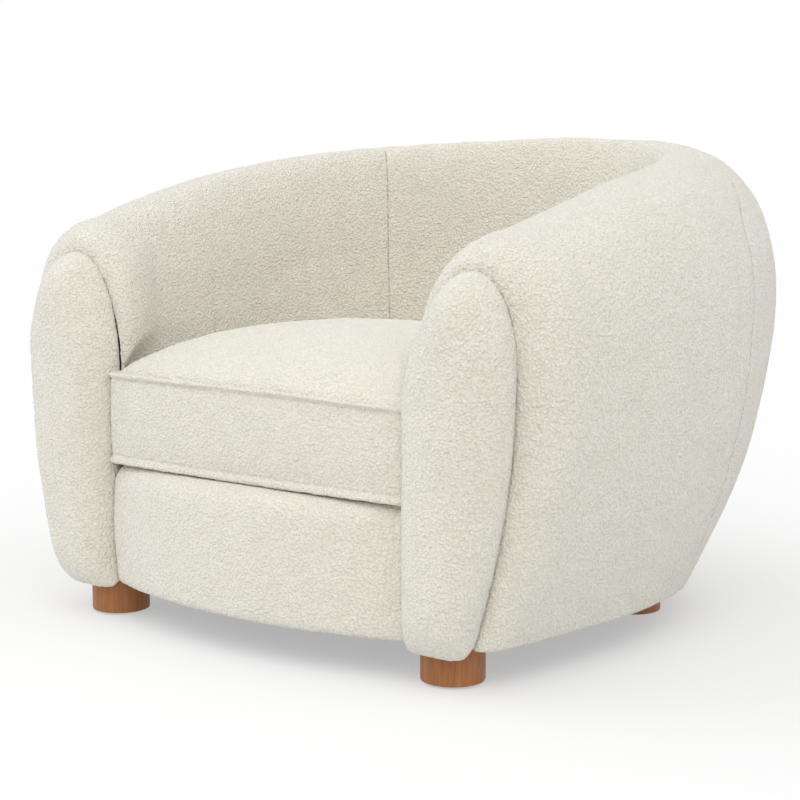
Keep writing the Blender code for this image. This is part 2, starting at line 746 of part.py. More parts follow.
# ---------------------------------------------------------------- suspension, deck and dust cover
def strap(name, line, direction):
    """A flat strap along a line of points, WEBBING_WIDTH wide across the given direction."""
    dx, dy = direction[0] * WEBBING_WIDTH / 2, direction[1] * WEBBING_WIDTH / 2
    rings = []
    for x, y, z in line:
        low = [(x - dx, y - dy, z), (x + dx, y + dy, z)]
        high = [(x + dx, y + dy, z + WEBBING), (x - dx, y - dy, z + WEBBING)]
        rings.append(low + high)
    return loft(name, rings, STRAPPING, smooth=False)


def make_webbing():
    """Straps stapled on the frame, with the cross straps woven over and under the lengthwise ones."""
    base = FRAME_TOP + 2 * WEBBING + GAP
    for i, x in enumerate(LENGTHWISE_X):
        back = WIDEST_Y + INNER_DEPTH * (1 - abs(x / INNER_HALF_WIDTH) ** ROUNDNESS) ** (1 / ROUNDNESS)
        line = [(x, bow_y(x) + 0.052, base), (x, back + 0.020, base)]
        strap(f"lengthwise_strap_{i + 1}", line, (1.0, 0.0))
    reach = WEBBING_WIDTH / 2 + 0.008
    for j, y in enumerate(CROSS_Y):
        line = [(-0.362, y, FRAME_TOP + GAP)]
        for i, x in enumerate(LENGTHWISE_X):
            over = 1 if (i + j) % 2 else -1
            z = base + over * (WEBBING + GAP)
            line += [(x - reach, y, z), (x + reach, y, z)]
        line.append((0.362, y, FRAME_TOP + GAP))
        strap(f"cross_strap_{j + 1}", line, (0.0, 1.0))


def wall_line(reach):
    """Plan points round the U from the right arm to the left one, each out from the path by reach(t)."""
    line = []
    for i in range(2 * PLAN_STEPS + 1):
        t = 1 - i / PLAN_STEPS
        origin, out = path_place(t)
        line.append(tuple(origin + out * reach(t)))
    return line


def make_deck():
    """The deck's pad and cloth, which fill the seat well under the loose cushion."""
    half = INNER_HALF_WIDTH - 0.010
    front = [(x, y + 0.050) for (x, y), _ in bow_line(half, 8)]
    outline = front + wall_line(lambda t: inner_wall_s(t, WELL_TOP) - 0.006)
    plate("deck_pad", outline, FRAME_TOP + 0.0075, DECK_TOP - COVER - 2 * GAP, FOAM)
    plate("deck_cloth", outline, DECK_TOP - COVER, DECK_TOP, FABRIC)


def make_dust_cover():
    """The thin cloth that closes the underside, let in behind the front rail's cover."""
    wall = wall_line(lambda t: outer_wall_s(t, BODY_BOTTOM + FOAM_LIFT) - 0.020)
    front_x = PILLOW_INNER_X + PILLOW_WIDTH - PILLOW_TUCK - 0.022
    pillow_y = SEAM_Y + 0.010
    bow = [(x, y + RAIL_TURN_IN + 0.0015) for (x, y), _ in bow_line(RAIL_HALF_WIDTH - 2 * RAIL_CORNER, 8)]
    corner_x = RAIL_HALF_WIDTH - 1.2 * RAIL_CORNER
    left, right = (-front_x, -corner_x), (corner_x, front_x)
    front = [(x, pillow_y) for x in left] + bow + [(x, pillow_y) for x in right]
    cloth = plate("dust_cover", front + wall, *DUST_COVER, CAMBRIC)
    for side, word in SIDES:
        for (x, y), end in ((FRONT_LEG, "front"), (REAR_LEG, "rear")):
            name = f"dust_{end}_{word}"
            cut(cloth, bolt_cutter(name, side * x, y, DUST_COVER[0] - 0.01, DUST_COVER[1] + 0.01))


# ---------------------------------------------------------------- legs
def make_leg(x, y, word):
    """A round wooden leg with its hanger bolt and felt glide."""
    low, high = GLIDE_THICKNESS + GAP, DUST_COVER[0] - GAP
    leg = cylinder(f"leg_{word}", x, y, LEG_DIAMETER / 2, low, high, HARDWOOD, 32, 0.0025)
    bolt_low, bolt_high = 0.018, BLOCK_TOP + 0.008
    cut(leg, bolt_cutter(f"leg_{word}", x, y, bolt_low - GAP, DUST_COVER[0] + 0.01))
    cylinder(f"leg_bolt_{word}", x, y, BOLT_RADIUS, bolt_low, bolt_high, STEEL, BOLT_SIDES)
    cylinder(f"leg_glide_{word}", x, y, GLIDE_RADIUS, 0.0, GLIDE_THICKNESS, FELT, 20)


def make_legs():
    for side, word in SIDES:
        make_leg(side * FRONT_LEG[0], FRONT_LEG[1], f"front_{word}")
        make_leg(side * REAR_LEG[0], REAR_LEG[1], f"rear_{word}")


# ---------------------------------------------------------------- seat cushion
def cushion_side():
    """The cushion's right side in plan, from the zip's end forward, held in to the cushion's own width."""
    zip_end = nearest_t(*zip_spot(ZIP_HALF_ANGLE))
    side = []
    for i in range(1, CUSHION_SIDE_STEPS + 2):
        t = zip_end + (1.0 - zip_end) * i / (CUSHION_SIDE_STEPS + 1)
        origin, out = path_place(t)
        spot = origin + out * (inner_wall_s(t, CUSHION_BOTTOM) - CUSHION_CLEARANCE)
        side.append((min(spot.x, CUSHION_HALF_WIDTH), spot.y))
    return side


def zip_spot(angle):
    """A plan point on the arc of the cushion's back."""
    return (ZIP_RADIUS * math.sin(angle), ZIP_CENTRE_Y + ZIP_RADIUS * math.cos(angle))


def cushion_outline():
    """Plan outline from the zip's right end forward, across the front, up the left and along the zip."""
    nick = 0.3 * CUSHION_CORNER
    corner = [
        (CUSHION_HALF_WIDTH, CUSHION_FRONT_Y + CUSHION_CORNER),
        (CUSHION_HALF_WIDTH - nick, CUSHION_FRONT_Y + nick),
    ]
    inner = CUSHION_HALF_WIDTH - CUSHION_CORNER
    front = []
    for i in range(CUSHION_FRONT_STEPS + 1):
        x = inner - 2 * inner * i / CUSHION_FRONT_STEPS
        front.append((x, CUSHION_FRONT_Y - CUSHION_BOW * (1 - (x / inner) ** 2)))
    right = [zip_spot(ZIP_HALF_ANGLE)] + cushion_side() + corner
    left = [(-x, y) for x, y in right[::-1]]
    arc = [zip_spot(ZIP_HALF_ANGLE * (2 * i / ZIP_STEPS - 1)) for i in range(1, ZIP_STEPS)]
    return right + front + left + arc


def cushion_rings(depth):
    """Rings from the middle of the top, over the edge, down the boxing and in to the bottom's middle."""
    outline = cushion_outline()
    centre = Vector((0.0, sum(y for _, y in outline) / len(outline)))
    half_depth = centre.y - CUSHION_FRONT_Y
    low, high = CUSHION_BOTTOM + depth, CUSHION_EDGE_TOP - depth
    rate, power = CROWN_SHAPE
    top = [(share, high) for share in (0.30, 0.62, 0.84, 0.95)]
    box_heights = (high - 0.008, ZIP_Z + ZIP_WIDTH / 2, ZIP_Z - ZIP_WIDTH / 2, low + 0.008)
    box = [(1.0, z) for z in box_heights]
    bottom = [(share, low) for share in (0.97, 0.5)]
    rings = []
    for share, z in top + box + bottom:
        ring = []
        for x, y in outline:
            spot = centre + (Vector((x, y)) - centre) * share
            pull = depth if share > 0.5 else 0.0
            away = (Vector((x, y)) - centre).normalized()
            rise = 0.0
            if z == high and share < 1.0:
                fall = 1 - REAR_FALL * (spot.y - centre.y) / half_depth
                rise = CUSHION_CROWN * (1 - share**rate) ** power * fall
            ring.append((*(spot - away * pull), z + rise))
        rings.append(ring)
    return rings


def make_cushion():
    """The cushion's foam, and its cover with the zip's opening left in its back."""
    loft("cushion_foam", cushion_rings(FOAM_START), FOAM)
    skin, lining = cushion_rings(0.0), cushion_rings(COVER)
    size, layers = len(skin[0]), len(skin)
    vertices = [point for ring in skin + lining for point in ring]
    shift = layers * size
    above, below = 5, 6  # the rings that bound the zip opening
    open_columns = {(size - ZIP_STEPS + i) % size for i in range(ZIP_STEPS + 1)} - {0}
    quads = []
    for r in range(layers - 1):
        for i in range(size):
            j = (i + 1) % size
            if r == above and i in open_columns:
                continue
            quads.append((r * size + i, r * size + j, (r + 1) * size + j, (r + 1) * size + i))
    quads += [(a + shift, b + shift, c + shift, d + shift) for a, b, c, d in quads]
    columns = sorted(open_columns)
    for i in columns:
        j = (i + 1) % size
        for r in (above, below):
            quads.append((r * size + i, r * size + j, shift + r * size + j, shift + r * size + i))
    for i in (columns[0], (columns[-1] + 1) % size):
        upper, lower = above * size + i, below * size + i
        quads.append((upper, lower, shift + lower, shift + upper))
    caps = [tuple(range(size)), tuple(shift - size + i for i in range(size))]
    caps += [tuple(shift + i for i in cap) for cap in caps]
    add_object("cushion_cover", vertices, triangulated(quads) + caps, FABRIC)
    make_zip()


def arc_ring(angle, profile):
    """Profile points (distance behind the cushion's back, height) at an angle along the zip."""
    ring = []
    for beyond, z in profile:
        radius = ZIP_RADIUS + beyond
        ring.append((radius * math.sin(angle), ZIP_CENTRE_Y + radius * math.cos(angle), ZIP_Z + z))
    return ring


def make_zip():
    """The zip's tape and teeth along the back arc, and its slider, whose origin is the arc's centre."""
    half, steps = ZIP_WIDTH / 2 + 0.004, 12
    reach = ZIP_HALF_ANGLE - math.radians(1.0)
    face, crest, tooth = 0.0012, 0.0026, 0.003
    teeth = [(face, tooth), (crest, tooth), (crest, -tooth), (face, -tooth)]
    tape = [(GAP, -half), (GAP, half), (face, half)] + teeth + [(face, -half)]
    rings = [arc_ring(-reach + 2 * reach * i / steps, tape) for i in range(steps + 1)]
    loft("cushion_zip", rings, ZIP_TAPE, smooth=False)
    slider_angle = -reach + math.radians(2.0)
    spread = math.radians(0.9)
    body = [(0.0030, -0.005), (0.0030, 0.005), (0.0056, 0.005), (0.0056, -0.005)]
    slider_rings = [arc_ring(slider_angle + spread * k, body) for k in (-1, 0, 1)]
    slider = loft("zip_slider", slider_rings, NICKEL, smooth=False)
    pivot = Vector((0.0, ZIP_CENTRE_Y, ZIP_Z))
    for vertex in slider.data.vertices:
        vertex.co -= pivot
    slider.location = pivot


# ---------------------------------------------------------------- build
clear_scene()
make_body()
make_pillows()
make_front_rail()
make_frame()
make_webbing()
make_deck()
make_dust_cover()
make_legs()
make_cushion()
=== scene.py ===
"""Upholstered barrel armchair in looped cream fabric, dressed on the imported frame.

Metres, +Z up, -Y the front, X across the chair. The upholstered body is one section carried round a U in
plan. A place on it is given by t, the share of the half path from the back centre (0) to the arm front
(1, negative on the left), by s, the distance out from the inner wall, and by z.
"""

import itertools
import math

import bmesh
import bpy
import numpy as np
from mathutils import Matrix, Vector, kdtree


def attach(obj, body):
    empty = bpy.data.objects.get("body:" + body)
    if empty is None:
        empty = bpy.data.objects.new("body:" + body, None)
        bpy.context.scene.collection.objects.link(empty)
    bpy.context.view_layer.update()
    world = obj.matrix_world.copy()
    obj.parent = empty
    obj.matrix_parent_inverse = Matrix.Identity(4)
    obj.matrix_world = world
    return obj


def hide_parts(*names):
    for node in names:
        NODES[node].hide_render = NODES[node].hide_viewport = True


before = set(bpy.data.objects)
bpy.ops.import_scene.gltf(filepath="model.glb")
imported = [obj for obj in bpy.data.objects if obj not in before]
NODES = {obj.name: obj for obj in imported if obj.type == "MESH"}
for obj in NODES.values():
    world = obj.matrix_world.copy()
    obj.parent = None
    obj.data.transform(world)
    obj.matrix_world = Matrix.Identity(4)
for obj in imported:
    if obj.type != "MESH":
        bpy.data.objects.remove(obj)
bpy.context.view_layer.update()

# ---------------------------------------------------------------- dimensions, as the frame has them
GAP = 0.0004
BODY_BOTTOM = 0.056
INNER_HALF_WIDTH = 0.299
INNER_DEPTH = 0.401
WIDEST_Y = -0.122
ROUNDNESS = 2.264
ARM_FRONT_Y = -0.347
SEAM_Y = -0.418
THICKNESS = (0.210, 0.248, 0.219)  # at the back centre, the rear corner and the arm front, as those below
RIDGE_S = (0.075, 0.094, 0.0895)
RIDGE_Z = (0.733, 0.693, 0.609)
WIDEST_Z = (0.448, 0.5035, 0.4615)
TUCK = (0.1405, 0.116, 0.1035)
INNER_TOP_Z = (0.550, 0.520, 0.440)
LEAN = (0.040, 0.030, 0.008)
ROLL_FULLNESS = 2.2
CENTRE_EASE = 0.10
WELL_TOP = 0.20
FOAM_ROLL = 0.0365
FOAM_DECK = 0.0205

PILLOW_INNER_X = 0.287
PILLOW_WIDTH = 0.163
PILLOW_RIDGE_S = 0.0915
PILLOW_TOP_Z = 0.5585
PILLOW_WIDEST_Z = 0.428
PILLOW_TUCK = 0.0675
PILLOW_INNER_TOP_Z = 0.380
PILLOW_BOTTOM_Z = 0.0585
PILLOW_FULLNESS = 2.0
PILLOW_DEPTH = 0.071
PILLOW_SAG = 0.018
PILLOW_BULGE = 0.006
DOME_FULLNESS = 0.663
DOME_DROP = 0.355

DECK_TOP = 0.2430
DECK_BOTTOM = 0.1975
CUSHION_BOTTOM = 0.2436
CUSHION_EDGE_TOP = 0.3780
CUSHION_CROWN = 0.074
CROWN_SHAPE = (3.0, 0.8)
REAR_FALL = 0.30
CUSHION_HALF_WIDTH = 0.2840
CUSHION_FRONT_Y = -0.447
CUSHION_BOW = 0.008
CUSHION_CORNER = 0.009
CUSHION_CLEARANCE = 0.011
ZIP_RADIUS = 0.325
ZIP_HALF_ANGLE = math.radians(27)
ZIP_REACH = ZIP_HALF_ANGLE - math.radians(1.0)
ZIP_WIDTH = 0.024
ZIP_MARGIN = 0.004
ZIP_HALF = ZIP_WIDTH / 2 + ZIP_MARGIN
ZIP_FADE, ZIP_FADE_ANGLE = 0.008, 0.03
ZIP_BED = 0.0014  # how far behind the tape the cushion's back is drawn in
ZIP_Z = (CUSHION_BOTTOM + CUSHION_EDGE_TOP) / 2
ZIP_CENTRE_Y = WIDEST_Y + INNER_DEPTH - CUSHION_CLEARANCE - ZIP_RADIUS

RAIL_HALF_WIDTH = 0.2855
RAIL_SIDE_Y = -0.436
RAIL_BOW = 0.0515
RAIL_CORNER = 0.016
RAIL_TOP = 0.2415  # the cover is proud of the frame here, close under the cushion
RAIL_BOTTOM = BODY_BOTTOM + 0.001

# shares of a section's points given to its four stretches, and the frame's own count of them
STRETCH_SHARES = (0.25, 0.17, 0.22, 0.36)
FRAME_STRETCHES = (0, 3 / 18, 8 / 18, 13 / 18, 1)

STEP = 0.0032  # spacing of the points on the fabric surfaces
NUB = 0.0052  # spacing of the fabric's loops
NUB_DEPTH = 0.0010
NUB_MEAN = 0.45  # mean height of the loops against the highest
NUB_DRIFT, NUB_DRIFT_SIZE = 0.0004, 0.020  # slow unevenness of the cloth
SAG_BELOW = 0.003  # how far the covers bag below the frame's lower edges
SAG_FADE = 0.06  # the height over which that fades out
EDGE_RADIUS = 0.006  # of the cover's lower edge


# ---------------------------------------------------------------- noise
HASH_PRIMES = (73856093, 19349663, 83492791)
HASH_SALT = 2654435
HASH_ROUNDS = ((13, 0x9E3779B97F4A7C15), (29, 0xBF58476D1CE4E5B9))
LOOP_REACH = 0.72  # square of a loop's radius, in cells
LOOP_LEAST = 0.55  # height of the lowest loops against the highest


def cell_random(cells, salt):
    """A repeatable value from 0 to 1 for each integer cell."""
    mixed = np.uint64(salt * HASH_SALT)
    for axis, prime in enumerate(HASH_PRIMES):
        mixed = mixed ^ cells[..., axis].astype(np.int64).astype(np.uint64) * np.uint64(prime)
    for shift, factor in HASH_ROUNDS:
        mixed = (mixed ^ (mixed >> np.uint64(shift))) * np.uint64(factor)
    return ((mixed >> np.uint64(40)) & np.uint64(0xFFFFFF)) / float(0xFFFFFF)


def soft_noise(points, size, salt=0):
    """Smooth noise from -1 to 1 with features of about the given size."""
    scaled = np.asarray(points) / size
    base = np.floor(scaled)
    share = scaled - base
    share = share * share * (3 - 2 * share)
    total = np.zeros(scaled.shape[:-1])
    for corner in itertools.product((0, 1), repeat=3):
        weight = np.ones_like(total)
        for axis in range(3):
            weight *= share[..., axis] if corner[axis] else 1 - share[..., axis]
        total += weight * cell_random(base + np.array(corner), salt)
    return total * 2 - 1


def nub_height(points, size, salt=0):
    """Height from 0 to 1 of rounded loops scattered through space, about one to a cell of the given size."""
    base = np.floor(points / size)
    height = np.zeros(len(points))
    for corner in itertools.product((-1, 0, 1), repeat=3):
        cell = base + np.array(corner)
        centre = np.stack([cell_random(cell, salt + axis) for axis in (1, 2, 3)], -1)
        apart = (((points / size) - cell - centre) ** 2).sum(-1)
        rise = np.clip(1 - apart / LOOP_REACH, 0, 1)
        least = LOOP_LEAST + (1 - LOOP_LEAST) * cell_random(cell, salt + 4)
        height = np.maximum(height, rise * least)
    return height


# ---------------------------------------------------------------- the U path and its sections
def blend3(values, t):
    """Smooth value along the half path from its values at the back centre, the corner and the arm front."""
    back, corner, front = values
    share = (np.hypot(t, CENTRE_EASE) - CENTRE_EASE) / (math.hypot(1.0, CENTRE_EASE) - CENTRE_EASE)
    middle = corner * 4 * share * (1 - share)
    return back * (1 - share) * (1 - 2 * share) + middle + front * share * (2 * share - 1)


PATH_STEPS = 500  # round each half of the U
PATH_BEYOND = 0.1  # how far it runs on past the arm fronts


def whole_path():
    """The inner wall in plan from past the left arm's front to past the right one's, with running lengths."""
    angle = np.linspace(0, math.pi / 2, PATH_STEPS)
    x = INNER_HALF_WIDTH * np.sin(angle) ** (2 / ROUNDNESS)
    y = WIDEST_Y + INNER_DEPTH * np.abs(np.cos(angle)) ** (2 / ROUNDNESS)
    x, y = np.append(x, INNER_HALF_WIDTH), np.append(y, ARM_FRONT_Y)
    length = np.append(0, np.cumsum(np.hypot(np.diff(x), np.diff(y))))
    total = length[-1]
    x, y = np.append(x, x[-1]), np.append(y, y[-1] - PATH_BEYOND)
    length = np.append(length, total + PATH_BEYOND)
    both = np.concatenate([-length[:0:-1], length])
    return both, np.concatenate([-x[:0:-1], x]), np.concatenate([y[:0:-1], y]), total


PATH_LENGTHS, PATH_X, PATH_Y, HALF_PATH = whole_path()
DIRECTION_REACH = 0.02


def path_xy(length):
    return np.interp(length, PATH_LENGTHS, PATH_X), np.interp(length, PATH_LENGTHS, PATH_Y)


def path_place(t):
    """Points at t on the inner wall in plan, and the directions out of the chair there."""
    length = np.asarray(t, float) * HALF_PATH
    x, y = path_xy(length)
    ahead, behind = path_xy(length + DIRECTION_REACH), path_xy(length - DIRECTION_REACH)
    dx, dy = ahead[0] - behind[0], ahead[1] - behind[1]
    size = np.hypot(dx, dy)
    return (x, y), (-dy / size, dx / size)


def stretch_points(count):
    """Which stretch of a section each of its points is in, and its share along that stretch."""
    ends = np.cumsum((0,) + STRETCH_SHARES)
    along = np.linspace(0, 1, count)
    stretch = np.clip(np.searchsorted(ends, along, side="right") - 1, 0, 3)
    share = (along - ends[stretch]) / (ends[stretch + 1] - ends[stretch])
    return stretch, share


def frame_share(count):
    """How far along its section the frame counts each point, from 0 at the deck to 1 at the outer foot."""
    stretch, share = stretch_points(count)
    marks = np.array(FRAME_STRETCHES)
    return marks[stretch] + (marks[stretch + 1] - marks[stretch]) * share


def roll_outline(start, inner_top, ridge, widest, foot, tuck, fullness, count):
    """Section points (s, z): up the inner wall, over the roll and down the tucked outside to the foot."""
    stretch, share = stretch_points(count)
    angle = share * math.pi / 2
    power = 2 / fullness
    sine, cosine = np.sin(angle) ** power, np.abs(np.cos(angle)) ** power
    wall_s = start[0] + (inner_top[0] - start[0]) * share
    wall_z = start[1] + (inner_top[1] - start[1]) * share
    rise_s = inner_top[0] + (ridge[0] - inner_top[0]) * (1 - cosine)
    rise_z = inner_top[1] + (ridge[1] - inner_top[1]) * sine
    fall_s = ridge[0] + (widest[0] - ridge[0]) * sine
    fall_z = widest[1] + (ridge[1] - widest[1]) * cosine
    out_s = widest[0] - tuck * share**2
    out_z = widest[1] + (foot - widest[1]) * share
    s = np.choose(stretch, np.broadcast_arrays(wall_s, rise_s, fall_s, out_s))
    z = np.choose(stretch, np.broadcast_arrays(wall_z, rise_z, fall_z, out_z))
    return s, z


def inner_wall_s(t, z):
    """How far the inner wall has leaned out at a height below its roll."""
    return blend3(LEAN, t) * (z - BODY_BOTTOM) / (blend3(INNER_TOP_Z, t) - BODY_BOTTOM)


def body_outline(t, count):
    """The body's outer section, where each point may have its own t."""
    return roll_outline(
        (inner_wall_s(t, WELL_TOP), WELL_TOP),
        (blend3(LEAN, t), blend3(INNER_TOP_Z, t)),
        (blend3(RIDGE_S, t), blend3(RIDGE_Z, t)),
        (blend3(THICKNESS, t), blend3(WIDEST_Z, t)),
        BODY_BOTTOM,
        blend3(TUCK, t),
        ROLL_FULLNESS,
        count,
    )


UNDER_LIP = 0.024  # how far the cover turns under the body
PADDING_BOTTOM = BODY_BOTTOM + 0.003


def hollow_outline(t, count):
    """The padding's inner face, from the deck over to the outer foot."""
    lean, thickness = blend3(LEAN, t), blend3(THICKNESS, t)
    inner_s, outer_s = lean + FOAM_ROLL, thickness - FOAM_ROLL
    ridge_share = (blend3(RIDGE_S, t) - lean) / (thickness - lean)
    foot_s = thickness - blend3(TUCK, t) - UNDER_LIP
    return roll_outline(
        (inner_wall_s(t, WELL_TOP) + FOAM_DECK, WELL_TOP),
        (inner_s, blend3(INNER_TOP_Z, t)),
        (inner_s + ridge_share * (outer_s - inner_s), blend3(RIDGE_Z, t) - FOAM_ROLL),
        (outer_s, blend3(WIDEST_Z, t)),
        PADDING_BOTTOM,
        outer_s - foot_s,
        ROLL_FULLNESS,
        count,
    )


def pillow_outline(count, start_z=PILLOW_BOTTOM_Z, foot=PILLOW_BOTTOM_Z):
    """A front pillow's outline as (x, z), in the same order as a section."""
    share = (PILLOW_WIDEST_Z - foot) / (PILLOW_WIDEST_Z - PILLOW_BOTTOM_Z)
    return roll_outline(
        (PILLOW_INNER_X, start_z),
        (PILLOW_INNER_X, PILLOW_INNER_TOP_Z),
        (PILLOW_INNER_X + PILLOW_RIDGE_S, PILLOW_TOP_Z),
        (PILLOW_INNER_X + PILLOW_WIDTH, PILLOW_WIDEST_Z),
        foot,
        PILLOW_TUCK * share**2,
        PILLOW_FULLNESS,
        count,
    )


def smooth(share):
    """Ease from 0 to 1 with level ends."""
    share = np.clip(share, 0, 1)
    return share * share * (3 - 2 * share)


def near(distance, width):
    """1 at a distance of 0, falling to nothing over the given width."""
    return np.exp(-((distance / width) ** 2))


def between(value, low, high, fade):
    """1 where a value lies between two limits, fading out past them."""
    return smooth((value - low + fade) / fade) * smooth((high - value + fade) / fade)


# ---------------------------------------------------------------- meshes from grids
def make_object(name, points, faces, material):
    mesh = bpy.data.meshes.new(name)
    mesh.from_pydata(points, [], faces)
    mesh.update()
    work = bmesh.new()
    work.from_mesh(mesh)
    bmesh.ops.recalc_face_normals(work, faces=work.faces)
    work.to_mesh(mesh)
    work.free()
    mesh.shade_smooth()
    mesh.materials.append(material)
    piece = bpy.data.objects.new(name, mesh)
    bpy.context.scene.collection.objects.link(piece)
    return piece


def ring_quads(rings, size):
    """Faces between closed rings of points that follow one another."""
    r, i = np.meshgrid(np.arange(rings - 1), np.arange(size), indexing="ij")
    j = (i + 1) % size
    quads = np.stack([r * size + i, r * size + j, (r + 1) * size + j, (r + 1) * size + i], -1)
    return quads.reshape(-1, 4).tolist()


def ladder_cap(first, near_count, far_count):
    """Faces that close a folded ring: near_count points out along one face, far_count back on the other."""
    each = (near_count - 1) // (far_count - 1)
    back = first + near_count + far_count - 1
    faces = []
    for j in range(far_count - 1):
        rung = [first + j * each + k for k in range(each + 1)]
        faces.append(rung + [back - j - 1, back - j])
    return faces


def fan_cap(points, first, size):
    """A middle point and the triangles that close a ring with it."""
    centre = len(points)
    faces = [(first + i, first + (i + 1) % size, centre) for i in range(size)]
    return points[first : first + size].mean(0), faces


def slit_cap(first, size):
    """Faces across a long narrow ring, which starts in the middle of one of its short ends."""
    last = first + size - 1
    return [(first + k, first + k + 1, last - 1 - k, last - k) for k in range(size // 2 - 1)]


def shell_piece(name, near_grid, far_grid, material):
    """A closed padded shell: fine rings on its visible face and coarse ones on its hidden face."""
    near_count, far_count = near_grid.shape[1], far_grid.shape[1]
    grid = np.concatenate([near_grid, far_grid[:, ::-1]], 1)
    rings, size = grid.shape[:2]
    faces = ring_quads(rings, size)
    faces += ladder_cap(0, near_count, far_count) + ladder_cap((rings - 1) * size, near_count, far_count)
    return make_object(name, grid.reshape(-1, 3), faces, material)


def round_piece(name, grid, material, slit_end=False):
    """A closed solid through closed rings, with a fan at each end, or a slit's faces at the last one."""
    rings, size = grid.shape[:2]
    points = grid.reshape(-1, 3)
    faces = ring_quads(rings, size)
    last = (rings - 1) * size
    for first in (0,) if slit_end else (0, last):
        middle, cap = fan_cap(points, first, size)
        points = np.vstack([points, middle])
        faces += cap
    if slit_end:
        faces += slit_cap(last, size)
    return make_object(name, points, faces, material)


def mesh_points(piece):
    flat = np.empty(len(piece.data.vertices) * 3)
    piece.data.vertices.foreach_get("co", flat)
    return flat.reshape(-1, 3)


def mesh_normals(piece):
    flat = np.empty(len(piece.data.vertices) * 3)
    piece.data.vertex_normals.foreach_get("vector", flat)
    return flat.reshape(-1, 3)


def set_points(piece, points):
    piece.data.vertices.foreach_set("co", np.asarray(points, np.float32).ravel())
    piece.data.update()


def raise_points(piece, points, rise):
    """Put a piece's points in place, each raised along the normal of its surface."""
    set_points(piece, points + mesh_normals(piece) * rise[:, None])


def add_loops(piece, salt):
    """Raise the fabric's loops on a piece, as real relief."""
    points = mesh_points(piece)
    rise = NUB_DEPTH * (nub_height(points, NUB, salt) - NUB_MEAN)
    rise += NUB_DRIFT * soft_noise(points, NUB_DRIFT_SIZE, salt + 7)
    raise_points(piece, points, rise)


def push(grid, amount):
    """Move a grid's points out along the normals of its surface."""
    along = np.gradient(grid, axis=0)
    across = np.gradient(grid, axis=1)
    normal = np.cross(along, across)
    normal /= np.maximum(np.linalg.norm(normal, axis=-1, keepdims=True), 1e-12)
    return grid + normal * amount[..., None]


def even_ring(ring, count):
    """A closed ring of points respaced evenly."""
    closed = np.vstack([ring, ring[:1]])
    length = np.append(0, np.cumsum(np.linalg.norm(np.diff(closed, axis=0), axis=1)))
    at = np.linspace(0, length[-1], count, endpoint=False)
    return np.stack([np.interp(at, length, closed[:, i]) for i in range(ring.shape[1])], -1)


def smooth_ring(ring, passes, weight):
    """A closed ring of points relaxed towards its neighbours' mean, by each point's weight."""
    for _ in range(passes):
        mean = (np.roll(ring, 1, 0) + np.roll(ring, -1, 0)) / 2
        ring = ring + (mean - ring) * 0.5 * weight[:, None]
    return ring


def count_for(length, multiple):
    """A number of points for a length at the fabric's spacing, one more than a multiple."""
    return int(math.ceil(length / STEP / multiple)) * multiple + 1


# ---------------------------------------------------------------- swelling by cloth simulation
SWELL_FRAMES = 20
SWELL_PRESSURE = 4.0
SWELL_NEIGHBOURS = 6


def swollen(start, held, voxel):
    """A remeshed copy of a piece before and after air pressure has filled it out between its held places."""
    copy = start.copy()
    copy.data = start.data.copy()
    bpy.context.scene.collection.objects.link(copy)
    remesh = copy.modifiers.new("remesh", "REMESH")
    remesh.mode = "VOXEL"
    remesh.voxel_size = voxel
    even = bpy.data.meshes.new_from_object(copy.evaluated_get(bpy.context.evaluated_depsgraph_get()))
    copy.modifiers.clear()
    copy.data = even
    before = mesh_points(copy)
    group = copy.vertex_groups.new(name="held")
    for i, weight in enumerate(held(before)):
        group.add([i], float(weight), "REPLACE")
    cloth = copy.modifiers.new("cloth", "CLOTH")
    cloth.settings.use_pressure = True
    cloth.settings.uniform_pressure_force = SWELL_PRESSURE
    cloth.settings.vertex_group_mass = "held"
    cloth.settings.effector_weights.gravity = 0
    cloth.point_cache.frame_start, cloth.point_cache.frame_end = 1, SWELL_FRAMES
    for number in range(1, SWELL_FRAMES + 1):
        bpy.context.scene.frame_set(number)
    filled = copy.evaluated_get(bpy.context.evaluated_depsgraph_get())
    flat = np.empty(len(before) * 3)
    filled.data.vertices.foreach_get("co", flat)
    bpy.data.objects.remove(copy, do_unlink=True)
    bpy.context.scene.frame_set(1)
    return before, flat.reshape(-1, 3)


def swell(piece, held, most, voxel):
    """Fill a padded piece out as its stuffing does. No point moves further than most."""
    before, after = swollen(piece, held, voxel)
    moved = after - before
    length = np.linalg.norm(moved, axis=1)
    moved *= np.minimum(1.0, most / np.maximum(length, 1e-9))[:, None]
    tree = kdtree.KDTree(len(before))
    for i, spot in enumerate(before):
        tree.insert(spot, i)
    tree.balance()
    points = mesh_points(piece)
    shifts = np.empty_like(points)
    for i, spot in enumerate(points):
        found = tree.find_n(spot, SWELL_NEIGHBOURS)
        weights = np.array([1 / (apart + voxel * 0.3) for _, _, apart in found])
        shifts[i] = weights @ moved[[index for _, index, _ in found]] / weights.sum()
    set_points(piece, points + shifts)


